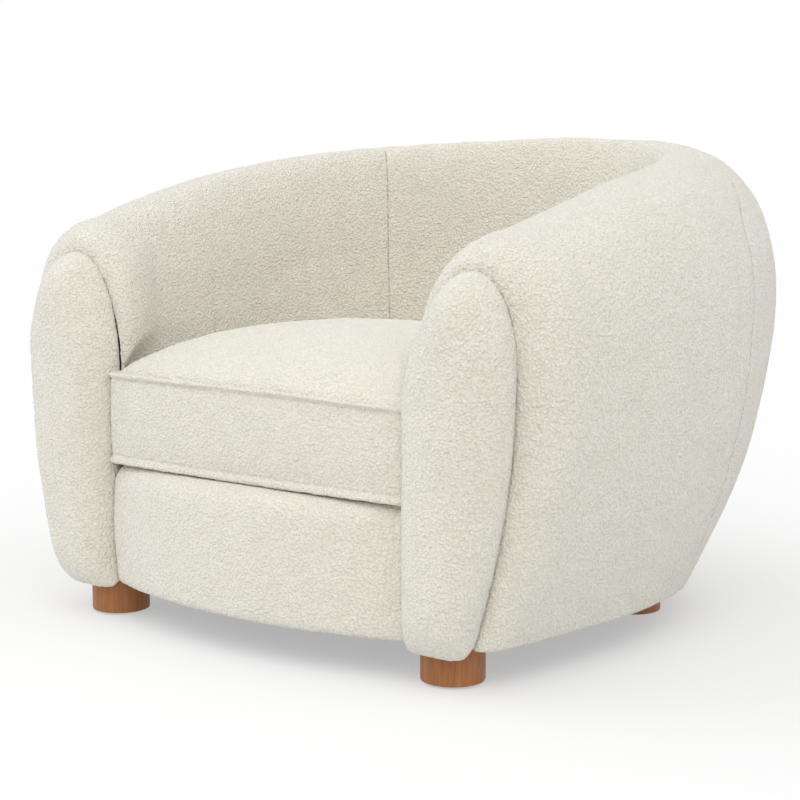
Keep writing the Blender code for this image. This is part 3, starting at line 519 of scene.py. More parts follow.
# ---------------------------------------------------------------- upholstered body
# the seam between back and arm panels: its t at shares of the way from the deck to the outer foot
SEAM_SHARES = (0.0, 0.22, 0.44, 0.62, 0.72, 1.0)
SEAM_TS = (0.334, 0.334, 0.328, 0.560, 0.560, 0.532)
FAR_POINTS = 24
SECTION_LENGTH, BACK_LENGTH, ARM_LENGTH = 1.16, 1.05, 0.50  # about, to space the points on them
SECTION_POINTS = count_for(SECTION_LENGTH, FAR_POINTS - 1)
SHOULDER_RINGS = 34
SHOULDER_END = math.radians(104)  # the cover turns in behind the pillow past its seam
SHOULDER_FULL = 0.024  # how far an arm's roll swells inward past the inner top of its pillow
SHOULDER_ROUND = 0.022  # how far behind the seam it has come to its full height
SHOULDER_Y, SHOULDER_FADE = -0.30, 0.09  # where it starts, and the length over which it grows
SHOULDER_FOOT, SHOULDER_TOP = 0.80, 0.35  # its ends, as shares of the inner wall and of the roll's rise
SHOULDER_WAY = np.array([1, 0, 0.25])  # it swells across the chair more than up
PANEL_SPACE = 0.024  # from the pillow's seam back to the end of the arm's padding

# short sewn darts on the inside of an arm: t, lowest and highest z, depth
DARTS = ((0.517, 0.40, 0.555, 0.0026), (0.789, 0.40, 0.500, 0.0020))
DART_SECTION = ((1.0, 0.0038), (0.35, 0.013))  # as (share of the depth, width)
DART_FADE = 0.03

# slow waves of the padding: height, size and salt
PADDING_WAVES = ((0.0020, 0.12, 21), (0.0009, 0.045, 22))

# the rise of a panel near a seam, as (rise, distance from the seam, width)
SEAM_SECTION = ((-0.0011, 0.0, 0.0032), (-0.0008, 0.0, 0.012), (0.0006, 0.026, 0.014))

# soft folds on the inside back: a place on each, its direction, half length, half width and height
FOLDS = (
    ((0.150, 0.235, 0.640), (0.75, 0.10, 0.62), 0.060, 0.010, 0.0022),
    ((0.190, 0.205, 0.600), (0.70, 0.00, 0.70), 0.055, 0.011, 0.0020),
    ((0.235, 0.170, 0.560), (0.55, -0.20, 0.80), 0.060, 0.012, 0.0018),
    ((-0.215, 0.200, 0.590), (-0.60, 0.00, 0.78), 0.055, 0.012, 0.0014),
    ((0.040, 0.270, 0.600), (0.85, 0.05, 0.50), 0.060, 0.013, 0.0012),
)
FOLD_TROUGH, FOLD_SPACING = 0.55, 1.9  # depth and distance of the trough beside a fold, against the fold's

# pleats along a pillow's seam: depth, spacing, spacing of the slow wave that varies them and its strength
GATHER_DEPTH, GATHER_PITCH, GATHER_DRIFT, GATHER_SWING = 0.0013, 0.0145, 0.052, 1.8
GATHER_FROM_Z, GATHER_OUT_X, GATHER_LEAST = 0.43, 0.42, 0.45
GATHER_AT, GATHER_WIDTH, GATHER_FADE = 0.008, 0.013, 0.05


def seam_line(count):
    """The t of the seam between back and arm panels at each point of a section."""
    ts = np.interp(frame_share(count), SEAM_SHARES, SEAM_TS)
    width = max(3, count // 24)
    kernel = np.hanning(width * 2 + 1)
    return np.convolve(np.pad(ts, width, mode="edge"), kernel / kernel.sum(), mode="valid")


def place_grid(ts, s, z):
    (x, y), (out_x, out_y) = path_place(ts)
    return np.stack([x + out_x * s, y + out_y * s, np.broadcast_to(z, s.shape)], -1)


def body_grid(ts):
    """The body's visible surface on a grid of t, with its lower edge turned in round a small corner."""
    s, z = body_outline(ts, SECTION_POINTS)
    fall = np.clip((BODY_BOTTOM + EDGE_RADIUS - z) / EDGE_RADIUS, 0, 1)
    stretch, _ = stretch_points(SECTION_POINTS)
    outside = stretch == 3
    s = s - np.where(outside, EDGE_RADIUS * (1 - np.sqrt(1 - fall**2)), 0)
    z = z - np.where(outside, SAG_BELOW * smooth((BODY_BOTTOM + SAG_FADE - z) / SAG_FADE), 0)
    return s, z


def body_relief(points):
    """Slow unevenness of padding under a cover."""
    return sum(height * soft_noise(points, size, salt) for height, size, salt in PADDING_WAVES)


def fold_relief(points):
    """The soft folds that the inside back's cover pulls into."""
    rise = np.zeros(points.shape[:-1])
    for place, direction, half_length, half_width, height in FOLDS:
        way = np.array(direction) / np.linalg.norm(direction)
        off = points - np.array(place)
        along = off @ way
        across = np.linalg.norm(off - along[..., None] * way, axis=-1)
        crest = near(across, half_width) - FOLD_TROUGH * near(across - FOLD_SPACING * half_width, half_width)
        rise += height * near(along, half_length) * crest
    return rise


def seam_dip(distance):
    """How far a panel's surface drops towards a seam at a distance along it."""
    return sum(rise * near(distance - at, width) for rise, at, width in SEAM_SECTION)


def back_ts(count, rings):
    share = np.linspace(-1, 1, rings)
    trim = GAP / HALF_PATH
    return share[:, None] * (seam_line(count) - trim)[None, :]


def arm_ts(count, rings):
    start = seam_line(count)[None, :]
    return start + (1 - start) * np.linspace(0, 1, rings)[:, None]


def make_back(material):
    rings = count_for(BACK_LENGTH, 2)
    ts = back_ts(SECTION_POINTS, rings)
    grid = place_grid(ts, *body_grid(ts))
    edge = np.linalg.norm(grid - grid[[0]], axis=-1)
    edge = np.minimum(edge, edge[::-1])
    grid = push(grid, seam_dip(edge) + body_relief(grid) + fold_relief(grid))
    far_ts = back_ts(FAR_POINTS, rings)
    far = place_grid(far_ts, *hollow_outline(far_ts, FAR_POINTS))
    return shell_piece("back_upholstery", grid, far, material)


def dart_dip(ts, z):
    """The sewn darts on the inside of an arm."""
    stretch, _ = stretch_points(SECTION_POINTS)
    dip = np.zeros_like(z)
    for t, low, high, depth in DARTS:
        off = (ts - t) * HALF_PATH
        line = sum(rise * near(off, width) for rise, width in DART_SECTION)
        dip -= depth * line * between(z, low, high, DART_FADE) * (stretch < 2)
    return dip


def shoulder_swell(grid, seam_at):
    """An arm's inner roll filled out inward, down to nothing at its pillow's seam, which is ring seam_at."""
    stretch, share = stretch_points(SECTION_POINTS)
    on_wall = (stretch == 0) * smooth((share - SHOULDER_FOOT) / (1 - SHOULDER_FOOT))
    on_roll = (stretch == 1) * (1 - smooth((share - SHOULDER_TOP) / (1 - SHOULDER_TOP)))
    behind = np.clip((grid[..., 1] - SEAM_Y) / SHOULDER_ROUND, 0, 1)
    lip = np.sqrt(1 - (1 - behind) ** 2) * smooth((SHOULDER_Y - grid[..., 1]) / SHOULDER_FADE)
    lip[seam_at:] = 0
    moved = push(grid, SHOULDER_FULL * (on_wall + on_roll) * lip) - grid
    return grid + moved * SHOULDER_WAY


def gathers(grid, seam):
    """Small pleats in an arm's cover, drawn in along the upper part of the pillow's seam."""
    length = np.append(0, np.cumsum(np.linalg.norm(np.diff(seam, axis=0), axis=1)))
    turn = length * 2 * np.pi
    wave = np.sin(turn / GATHER_PITCH + GATHER_SWING * np.sin(turn / GATHER_DRIFT))
    inside = GATHER_LEAST + (1 - GATHER_LEAST) * smooth((GATHER_OUT_X - seam[:, 0]) / GATHER_FADE)
    height = smooth((seam[:, 2] - GATHER_FROM_Z) / GATHER_FADE) * inside
    apart = np.linalg.norm(grid - seam[None], axis=-1)
    return GATHER_DEPTH * (wave * height)[None, :] * near(apart - GATHER_AT, GATHER_WIDTH)


def make_arm(side, word, material):
    rings = count_for(ARM_LENGTH, 2)
    ts = arm_ts(SECTION_POINTS, rings)
    s, z = body_grid(ts)
    grid = place_grid(ts, s, z)
    pillow_x, pillow_z = pillow_outline(SECTION_POINTS, WELL_TOP, BODY_BOTTOM)
    drift_x, drift_z = pillow_x - INNER_HALF_WIDTH - s[-1], pillow_z - z[-1]
    angle = np.linspace(0, SHOULDER_END, SHOULDER_RINGS)[1:, None]
    mix = 1 - np.cos(angle)
    y = ARM_FRONT_Y + (SEAM_Y + GAP - ARM_FRONT_Y) * np.sin(angle)
    shoulder = np.stack([
        INNER_HALF_WIDTH + s[-1] + drift_x * mix,
        np.broadcast_to(y, mix.shape[:1] + s[-1].shape),
        z[-1] + drift_z * mix,
    ], -1)
    seam_ring = int(round(math.pi / 2 / SHOULDER_END * (SHOULDER_RINGS - 1))) - 1
    darts = np.concatenate([dart_dip(ts, z), np.zeros(shoulder.shape[:2])])
    grid = np.concatenate([grid, shoulder])
    edge = np.linalg.norm(grid - grid[[0]], axis=-1)
    relief = seam_dip(edge) + body_relief(grid * np.array([side, 1, 1])) + darts
    relief += gathers(grid, shoulder[seam_ring])
    grid = push(shoulder_swell(grid, rings + seam_ring), relief)
    far_ts = arm_ts(FAR_POINTS, rings)
    far = place_grid(far_ts, *hollow_outline(far_ts, FAR_POINTS))
    step = (SEAM_Y + PANEL_SPACE - ARM_FRONT_Y) / (SHOULDER_RINGS - 1)
    tail = far[[-1]] + np.array([0, step, 0]) * np.arange(1, SHOULDER_RINGS)[:, None, None]
    far = np.concatenate([far, tail])
    flip = np.array([side, 1, 1])
    return shell_piece(f"arm_upholstery_{word}", grid * flip, far * flip, material)


# ---------------------------------------------------------------- front pillows
PILLOW_POINTS = 380
OUTLINE_POINTS = 300  # of the outline before it is respaced
DOME_RINGS = 52
DOME_LAST = math.radians(89.2)
DOME_SPACING = 0.92
CORNER_PASSES = 130
PILLOW_SWELL = 0.005
PILLOW_SWELL_SHARE = 0.6  # the share of the swelling that the dome starts short by
PILLOW_DRAW = 0.005  # how far the inner top is drawn in
PILLOW_DRAW_DOWN = 1.4  # and down, against that
PILLOW_DRAW_Z, PILLOW_DRAW_FADE, PILLOW_DRAW_ANGLE = 0.43, 0.10, 0.8
PILLOW_VOXEL = 0.006
PILLOW_RELIEF_SHIFT = 3.0  # sets the pillows' waves apart from the other pieces'
PILLOW_RELIEF_FADE = 0.02
BULGE_TOP_Z, BULGE_FADE, BULGE_LOSS = 0.40, 0.12, 0.75  # the sideways bulge dies out above this
SEAM_PINCH, SEAM_PINCH_ANGLE = 0.0025, 0.10
BELLY_FULL, BELLY_END, BELLY_FADE = 30, 104, 60  # degrees round the dome where its lower edge hangs
LOW_CORNER_Z, LOW_CORNER_FADE = PILLOW_BOTTOM_Z + 0.075, 0.05
CORNER_FROM, CORNER_FADE = 0.30, 0.50  # radians round the dome
OUTLINE_EASE, OUTLINE_FADE, OUTLINE_PASSES = 0.020, 0.010, 5
BOTTOM_BAND = 0.012
HOLD_BACK, HOLD_FADE = 0.016, 0.012  # the cover is held this near its seam
HOLD_TOP_Z, HOLD_TOP_FADE = 0.500, 0.045


def pillow_ring():
    """A pillow's closed outline, evenly spaced from the middle of its bottom, with eased lower corners."""
    x, z = pillow_outline(OUTLINE_POINTS)
    ring = even_ring(np.stack([x, z], -1), PILLOW_POINTS)
    low = smooth((PILLOW_BOTTOM_Z + OUTLINE_EASE - ring[:, 1]) / OUTLINE_FADE)
    ring = smooth_ring(ring, OUTLINE_PASSES, low)
    bottom = ring[:, 1] < PILLOW_BOTTOM_Z + BOTTOM_BAND
    middle = np.abs(np.where(bottom, ring[:, 0] - ring[bottom, 0].mean(), np.inf)).argmin()
    return even_ring(np.roll(ring, -middle, 0), PILLOW_POINTS)


def make_pillow(side, word, material):
    ring = pillow_ring()
    low, high = ring.min(0), ring.max(0)
    middle, half_width = (low + high) / 2, (high[0] - low[0]) / 2
    share = np.linspace(0, 1, DOME_RINGS)[:, None]
    angle = DOME_LAST * share**DOME_SPACING
    across = np.cos(angle) ** DOME_FULLNESS
    along = 1 - (1 - across) * DOME_DROP
    off = ring - middle
    sideways = np.clip(2 * off[:, 0] / half_width, -1, 1)
    sideways *= 1 - BULGE_LOSS * smooth((ring[:, 1] - BULGE_TOP_Z) / BULGE_FADE)
    bulge = PILLOW_BULGE * np.sin(np.minimum(2 * angle, np.pi)) - SEAM_PINCH * near(angle, SEAM_PINCH_ANGLE)
    below = np.clip(-off[:, 1] / (middle[1] - low[1]), 0, 1)
    degrees = np.degrees(angle)
    belly = smooth(degrees / BELLY_FULL) * smooth((BELLY_END - degrees) / BELLY_FADE)
    x = middle[0] + off[:, 0] * across + bulge * sideways
    z = middle[1] + off[:, 1] * along - PILLOW_SAG * belly * below**2
    high_up = smooth((ring[:, 1] - PILLOW_DRAW_Z) / PILLOW_DRAW_FADE)
    drawn = PILLOW_DRAW * high_up * smooth(angle / PILLOW_DRAW_ANGLE)
    x += drawn * across * smooth(-2 * off[:, 0] / half_width)
    z -= PILLOW_DRAW_DOWN * drawn
    depth = PILLOW_DEPTH - PILLOW_SWELL * PILLOW_SWELL_SHARE
    y = np.broadcast_to(SEAM_Y - GAP - depth * np.sin(angle), x.shape)
    grid = round_lower_corners(np.stack([x, y, z], -1), angle)
    piece = round_piece(f"pillow_{word}", grid * np.array([side, 1, 1]), material, slit_end=True)
    swell(piece, pillow_held, PILLOW_SWELL, PILLOW_VOXEL)
    points = mesh_points(piece)
    ahead = smooth((SEAM_Y - points[:, 1]) / PILLOW_RELIEF_FADE)
    raise_points(piece, points, body_relief(points + PILLOW_RELIEF_SHIFT) * ahead)
    return piece


def round_lower_corners(grid, angle):
    """Round a pillow's lower corners off, the more the further forward they are."""
    low = smooth((LOW_CORNER_Z - grid[:1, :, 2:]) / LOW_CORNER_FADE)
    weight = low / 2 * smooth((angle - CORNER_FROM) / CORNER_FADE)[..., None]
    for _ in range(CORNER_PASSES):
        mean = (np.roll(grid, 1, 1) + np.roll(grid, -1, 1)) / 2
        grid = grid + (mean - grid) * weight
    return grid


def pillow_held(points):
    """A pillow's cover is held along its seam, at its board and where its top is drawn in."""
    at_seam = smooth((points[:, 1] - SEAM_Y + HOLD_BACK) / HOLD_FADE)
    return np.maximum(at_seam, smooth((points[:, 2] - HOLD_TOP_Z) / HOLD_TOP_FADE))


# ---------------------------------------------------------------- front rail
RAIL_END_POINTS = 12
RAIL_HEIGHT = RAIL_TOP - RAIL_BOTTOM
RAIL_MOST_DEPTH = RAIL_CORNER * 0.85  # round the ends, the section stays within the corner

# the rail's wrapped face as (depth in from the front, height above its lower edge)
RAIL_FACE = (
    (0.014, 0.0),
    (0.007, 0.0004),
    (0.002, 0.004),
    (0.0, 0.012),
    (0.0, RAIL_HEIGHT - 0.034),
    (0.0012, RAIL_HEIGHT - 0.020),
    (0.0055, RAIL_HEIGHT - 0.009),
    (0.013, RAIL_HEIGHT - 0.003),
    (0.024, RAIL_HEIGHT - 0.0005),
    (0.040, RAIL_HEIGHT),
)

# the hidden face, as (depth, height above the floor)
RAIL_BACK = (
    (0.016, RAIL_BOTTOM + 0.002),
    (0.018, RAIL_BOTTOM + 0.006),
    (0.018, RAIL_TOP - 0.03),
    (0.042, RAIL_TOP - 0.005),
)
RAIL_BELLY, RAIL_BELLY_SHAPE = 0.0045, 0.8
RAIL_SAG_FADE = 0.05
RAIL_RELIEF, RAIL_RELIEF_SHIFT = 0.6, 5.0
RAIL_EASE = 7  # points over which the section's corners are eased
RAIL_LENGTH = 0.60  # about, to space its points
RAIL_BACK_SET = 1.02  # sets the hidden face behind the visible one round the ends


def bow_line(half, count):
    """Plan points along the bow from -half to half, each with its outward direction."""
    x = np.linspace(-half, half, count)
    y = RAIL_SIDE_Y - RAIL_BOW * (1 - (x / RAIL_HALF_WIDTH) ** 2)
    slope = 2 * RAIL_BOW * x / RAIL_HALF_WIDTH**2
    size = np.hypot(slope, 1)
    return np.stack([x, y], -1), np.stack([slope / size, -1 / size], -1)


def rail_line():
    """Plan points with outward directions: round one end, along the bow, round the other end."""
    inner = RAIL_HALF_WIDTH - RAIL_CORNER
    angle = np.linspace(0, math.pi / 2, RAIL_END_POINTS, endpoint=False)
    y = RAIL_SIDE_Y - RAIL_BOW * (1 - (inner / RAIL_HALF_WIDTH) ** 2)
    end = np.stack([-inner - RAIL_CORNER * np.cos(angle), y + RAIL_CORNER * (1 - np.sin(angle))], -1)
    facing = np.stack([-np.cos(angle), -np.sin(angle)], -1)
    places, out = bow_line(inner, count_for(RAIL_LENGTH, 1))
    flip = np.array([-1, 1])
    return np.vstack([end, places, end[::-1] * flip]), np.vstack([facing, out, facing[::-1] * flip])


def rail_grid(places, out, depth, z):
    return np.stack([
        places[:, [0]] - out[:, [0]] * depth,
        places[:, [1]] - out[:, [1]] * depth,
        np.broadcast_to(z, depth.shape),
    ], -1)


def make_rail(material):
    places, out = rail_line()
    face = np.array(RAIL_FACE)
    length = np.append(0, np.cumsum(np.hypot(*np.diff(face, axis=0).T)))
    at = np.linspace(0, length[-1], count_for(length[-1], 1))
    depth, rise = np.interp(at, length, face[:, 0]), np.interp(at, length, face[:, 1])
    kernel = np.hanning(RAIL_EASE)[1:-1]
    kernel /= kernel.sum()
    depth[2:-2] = np.convolve(depth, kernel, mode="valid")
    rise[2:-2] = np.convolve(rise, kernel, mode="valid")
    belly = RAIL_BELLY * np.sin(np.pi * np.clip(rise / RAIL_HEIGHT, 0, 1)) ** RAIL_BELLY_SHAPE
    place_number = np.arange(len(places))
    from_end = np.minimum(place_number, place_number[::-1])
    most = np.where(from_end < RAIL_END_POINTS + 2, RAIL_MOST_DEPTH, 1.0)[:, None]
    z = RAIL_BOTTOM + rise - SAG_BELOW * smooth((RAIL_SAG_FADE - rise) / RAIL_SAG_FADE)
    grid = rail_grid(places, out, np.minimum(depth[None, :], most) - belly[None, :], z)
    grid = push(grid, body_relief(grid + RAIL_RELIEF_SHIFT) * RAIL_RELIEF)
    back = np.array(RAIL_BACK)
    far = rail_grid(places, out, np.minimum(back[None, :, 0], most * RAIL_BACK_SET), back[:, 1])
    return shell_piece("front_rail_upholstery", grid, far, material)


# ---------------------------------------------------------------- seat cushion
CUSHION_POINTS = 690
CUSHION_SWELL = 0.008
CROWN_ROUNDING = 1.5  # how soon its rings turn from its outline into ovals, going inward
CUSHION_DROOP = 0.005  # how much lower its right front corner has settled
SEAM_SHARE = 0.984  # the top panel's seam, as a share of the way out to the edge
SWELL_ALLOWED = 0.15  # the share of the swelling that the crown starts short by
CUSHION_VOXEL = 0.008
CUSHION_RELIEF_SHIFT, CUSHION_RELIEF_FADE = 7.0, 0.03
SIDE_FROM_T = 0.20
SIDE_POINTS, ARC_POINTS, CORNER_POINTS, FRONT_POINTS = 120, 40, 12, 60
RING_PASSES, RING_EASE_Y, RING_EASE_FADE = 40, -0.30, 0.05  # its outline is eased behind this y
DROOP_X, DROOP_X_FADE = 0.05, 0.2
DROOP_Y, DROOP_Y_FADE = -0.25, 0.15
DROOP_HEIGHT = 0.10
TOP_ROWS, TOP_FIRST, TOP_SPACING, TOP_DROP = 92, 0.012, 0.98, 0.0008
TOP_GROOVE, TOP_GROOVE_WIDTH = 0.0022, 0.0035
EDGE_HELD, EDGE_FADE, SEAM_HELD = 0.955, 0.02, 0.008
BOTTOM_HELD, BOTTOM_FADE = 0.022, 0.008
# the top seam's flange and the bottom seam's, as (distance outward, height from the cushion's edge)
TOP_FLANGE = ((-0.0030, 0.0004), (-0.0012, 0.0024), (0.0012, 0.0030), (0.0032, 0.0020), (0.0040, 0.0),
              (0.0030, -0.0020), (0.0006, -0.0034), (-0.0008, -0.0056))
LOW_FLANGE = ((0.0, 0.0150), (-0.0010, 0.0130), (0.0010, 0.0108), (0.0026, 0.0080), (0.0036, 0.0045),
              (0.0034, 0.0016), (0.0016, 0.0002))
BOX_ROWS = 32
BOX_SWELL = 0.0015
BOX_TOP_GAP, BOX_LOW_GAP = 0.003, 0.002
BOTTOM_SHARES = np.linspace(0.985, 0.02, 16)


def zip_spot(angle):
    return ZIP_RADIUS * np.sin(angle), ZIP_CENTRE_Y + ZIP_RADIUS * np.cos(angle)


def cushion_ring():
    """The cushion's outline in plan, evenly spaced, from the middle of the back."""
    ts = np.linspace(SIDE_FROM_T, 1.0, SIDE_POINTS)
    (x, y), (out_x, out_y) = path_place(ts)
    reach = inner_wall_s(ts, CUSHION_BOTTOM) - CUSHION_CLEARANCE
    side = np.stack([np.minimum(x + out_x * reach, CUSHION_HALF_WIDTH), y + out_y * reach], -1)
    zip_x, _ = zip_spot(ZIP_HALF_ANGLE)
    side = side[side[:, 0] > zip_x + ZIP_MARGIN]
    arc = np.stack(zip_spot(np.linspace(0, ZIP_HALF_ANGLE, ARC_POINTS)), -1)
    angle = np.linspace(0, math.pi / 2, CORNER_POINTS)
    inner = CUSHION_HALF_WIDTH - CUSHION_CORNER
    corner = np.stack([inner + CUSHION_CORNER * np.cos(angle),
                       CUSHION_FRONT_Y + CUSHION_CORNER * (1 - np.sin(angle))], -1)
    front_x = np.linspace(inner, 0, FRONT_POINTS)[1:]
    front = np.stack([front_x, CUSHION_FRONT_Y - CUSHION_BOW * (1 - (front_x / inner) ** 2)], -1)
    right = np.vstack([arc, side, corner, front])
    left = right[-2:0:-1] * np.array([-1, 1])
    ring = even_ring(np.vstack([right, left]), CUSHION_POINTS)
    return smooth_ring(ring, RING_PASSES, smooth((ring[:, 1] - RING_EASE_Y) / RING_EASE_FADE))


CUSHION_RING = cushion_ring()
CUSHION_CENTRE = np.array([0.0, CUSHION_RING[:, 1].mean()])


def crown(share):
    """The crown's height at a share of the way out to the top panel's seam, from 1 in the middle to 0."""
    rate, power = CROWN_SHAPE
    return (1 - np.clip(share, 0, 1) ** rate) ** power


def cushion_profile():
    """The cushion's section from the middle of its top to the middle of its bottom.

    Each row is (share of the way out from the middle, distance outward, height, share of the crown).
    """
    rows = []
    for share in SEAM_SHARE * np.sin(np.linspace(TOP_FIRST, math.pi / 2, TOP_ROWS)) ** TOP_SPACING:
        groove = TOP_GROOVE * near((share - SEAM_SHARE) * CUSHION_HALF_WIDTH, TOP_GROOVE_WIDTH)
        rows.append((share, 0.0, CUSHION_EDGE_TOP - TOP_DROP - groove, crown(share / SEAM_SHARE)))
    rows += [(1.0, out, CUSHION_EDGE_TOP + rise, 0.0) for out, rise in TOP_FLANGE]
    high = CUSHION_EDGE_TOP + TOP_FLANGE[-1][1] - BOX_TOP_GAP
    low = CUSHION_BOTTOM + LOW_FLANGE[0][1] + BOX_LOW_GAP
    for share in np.linspace(0, 1, BOX_ROWS):
        rows.append((1.0, BOX_SWELL * math.sin(math.pi * share), high + (low - high) * share, 0.0))
    rows += [(1.0, out, CUSHION_BOTTOM + rise, 0.0) for out, rise in LOW_FLANGE]
    rows += [(share, 0.0, CUSHION_BOTTOM, 0.0) for share in BOTTOM_SHARES]
    return np.array(rows)


def share_out(points):
    """How far out from the cushion's middle each point lies, as a share of the way to its outline."""
    ring = CUSHION_RING - CUSHION_CENTRE
    ring_angle = np.arctan2(ring[:, 0], ring[:, 1])
    order = np.argsort(ring_angle)
    off = points[:, :2] - CUSHION_CENTRE
    angle = np.arctan2(off[:, 0], off[:, 1])
    reach = np.interp(angle, ring_angle[order], np.linalg.norm(ring[order], axis=1), period=2 * np.pi)
    return np.linalg.norm(off, axis=1) / reach


def cushion_held(points):
    """The cushion's cover is held along its seams and where it rests on the deck."""
    edge = smooth((share_out(points) - EDGE_HELD) / EDGE_FADE)
    top_seam = near(points[:, 2] - CUSHION_EDGE_TOP, SEAM_HELD) * edge
    bottom = smooth((CUSHION_BOTTOM + BOTTOM_HELD - points[:, 2]) / BOTTOM_FADE)
    return np.maximum(top_seam, bottom)


def make_cushion(material):
    ahead = np.roll(CUSHION_RING, -1, 0) - np.roll(CUSHION_RING, 1, 0)
    out = np.stack([-ahead[:, 1], ahead[:, 0]], -1)
    out /= np.linalg.norm(out, axis=1, keepdims=True)
    rows = cushion_profile()
    half_depth = CUSHION_CENTRE[1] - CUSHION_FRONT_Y
    spokes = (CUSHION_RING - CUSHION_CENTRE)[None]
    share = rows[:, 0, None, None]
    reach = np.array([CUSHION_HALF_WIDTH, half_depth])
    rounded = spokes / np.linalg.norm(spokes / reach, axis=-1, keepdims=True)
    spokes = rounded + (spokes - rounded) * share**CROWN_ROUNDING
    spots = CUSHION_CENTRE + spokes * share + out[None] * rows[:, 1, None, None]
    fall = 1 - REAR_FALL * (spots[..., 1] - CUSHION_CENTRE[1]) / half_depth
    z = rows[:, 2, None] + (CUSHION_CROWN - CUSHION_SWELL * SWELL_ALLOWED) * rows[:, 3, None] * fall
    to_right = smooth((spots[..., 0] - DROOP_X) / DROOP_X_FADE)
    to_front = smooth((DROOP_Y - spots[..., 1]) / DROOP_Y_FADE)
    z = z - CUSHION_DROOP * (to_right * to_front) * smooth((z - CUSHION_BOTTOM) / DROOP_HEIGHT)
    grid = np.concatenate([spots, z[..., None]], -1)
    piece = round_piece("seat_cushion", grid, material)
    swell(piece, cushion_held, CUSHION_SWELL, CUSHION_VOXEL)
    points = mesh_points(piece)
    above = smooth((points[:, 2] - CUSHION_BOTTOM) / CUSHION_RELIEF_FADE)
    raise_points(piece, points, body_relief(points + CUSHION_RELIEF_SHIFT) * above)
    return piece


def zip_zone(points):
    """1 where the zip lies on the cushion's back, fading out round it."""
    angle = np.arctan2(points[:, 0], points[:, 1] - ZIP_CENTRE_Y)
    along = 1 - smooth((np.abs(angle) - ZIP_HALF_ANGLE) / ZIP_FADE_ANGLE)
    return along * between(points[:, 2], ZIP_Z - ZIP_HALF, ZIP_Z + ZIP_HALF, ZIP_FADE) * (points[:, 1] > 0)


def bed_zip(piece):
    """Draw the cushion's back in behind the zip, so that its tape lies on the fabric."""
    points = mesh_points(piece)
    off = points[:, :2] - np.array([0.0, ZIP_CENTRE_Y])
    radius = np.linalg.norm(off, axis=1)
    wanted = radius + (ZIP_RADIUS - ZIP_BED - radius) * zip_zone(points)
    points[:, :2] += off * (wanted / radius - 1)[:, None]
    set_points(piece, points)


# ---------------------------------------------------------------- the zip
TAPE_FACE = 0.0012  # how far the tape's face stands out from the cushion's back
TAPE_RINGS = 90
TAPE_SECTION = (
    (GAP, -ZIP_HALF), (GAP, ZIP_HALF), (TAPE_FACE, ZIP_HALF), (TAPE_FACE, 0.0034),
    (0.0017, 0.0026), (0.0017, -0.0026), (TAPE_FACE, -0.0034), (TAPE_FACE, -ZIP_HALF),
)
TOOTH_PITCH = 0.0026
TOOTH = (0.0008, 0.0010, 0.0028, 0.0032, 0.0010)  # half width, nearest and furthest out, long and short reach
SLIDER_ANGLE = math.radians(2.0) - ZIP_REACH
SLIDER_BEVEL = 0.0004
# the slider's plate, bridge, ring and pull: half width, nearest and furthest out, lowest and highest
SLIDER_BOXES = (
    (0.0050, 0.0030, 0.0040, -0.0046, 0.0046),
    (0.0011, 0.0038, 0.0060, -0.0030, 0.0034),
    (0.0021, 0.0046, 0.0056, -0.0074, -0.0020),
    (0.0032, 0.0044, 0.0056, -0.0290, -0.0070),
)


def arc_point(angle, beyond, height):
    radius = ZIP_RADIUS + beyond
    return (radius * math.sin(angle), ZIP_CENTRE_Y + radius * math.cos(angle), ZIP_Z + height)


def arc_boxes(name, boxes, material):
    """Boxes on the zip's arc, each (angle, half width, nearest out, furthest out, lowest, highest)."""
    points, faces = [], []
    for angle, half, inner, outer, low, high in boxes:
        turn = half / ZIP_RADIUS
        first = len(points)
        for height in (low, high):
            for at, beyond in ((-turn, inner), (turn, inner), (turn, outer), (-turn, outer)):
                points.append(arc_point(angle + at, beyond, height))
        for face in ((0, 1, 2, 3), (4, 5, 6, 7), (0, 1, 5, 4), (1, 2, 6, 5), (2, 3, 7, 6), (3, 0, 4, 7)):
            faces.append([first + k for k in face])
    return make_object(name, points, faces, material)


def make_zip(tape_material, metal):
    """The zip's woven tape and its two rows of teeth."""
    angles = np.linspace(-ZIP_REACH, ZIP_REACH, TAPE_RINGS)
    grid = np.array([[arc_point(angle, *place) for place in TAPE_SECTION] for angle in angles])
    tape = round_piece("zip_tape", grid, tape_material)
    half_width, inner, outer, long, short = TOOTH
    count = int(2 * ZIP_REACH * ZIP_RADIUS / TOOTH_PITCH)
    boxes = []
    for i in range(1, count):
        low, high = (-long, short) if i % 2 else (-short, long)
        boxes.append((-ZIP_REACH + 2 * ZIP_REACH * i / count, half_width, inner, outer, low, high))
    return tape, arc_boxes("zip_teeth", boxes, metal)


def make_slider(metal):
    """The zip's slider with its bridge and hanging pull."""
    slider = arc_boxes("zip_pull", [(SLIDER_ANGLE, *box) for box in SLIDER_BOXES], metal)
    bevel = slider.modifiers.new("bevel", "BEVEL")
    bevel.width, bevel.segments = SLIDER_BEVEL, 2
    return slider


# ---------------------------------------------------------------- the deck under the cushion
DECK_POINTS = 420
DECK_SAG = 0.006
BORDER_SHARE = 0.86  # where the decking cloth is sewn to its border
BORDER_DEPTH, BORDER_WIDTH = 0.0024, 0.003
DECK_SIDE_GAP, DECK_FRONT_GAP = 0.006, 0.050  # in from the inner wall, and back from the front rail's bow
DECK_FRONT_IN = 0.010
DECK_FRONT_POINTS, DECK_WALL_POINTS = 60, 200
DECK_SHARES = np.linspace(0.02, 0.985, 70)
DECK_FACE = DECK_TOP - 0.0012
DECK_EDGE = [(0.996, DECK_TOP - 0.003), (1.0, DECK_TOP - 0.008), (1.0, DECK_BOTTOM + 0.002)]


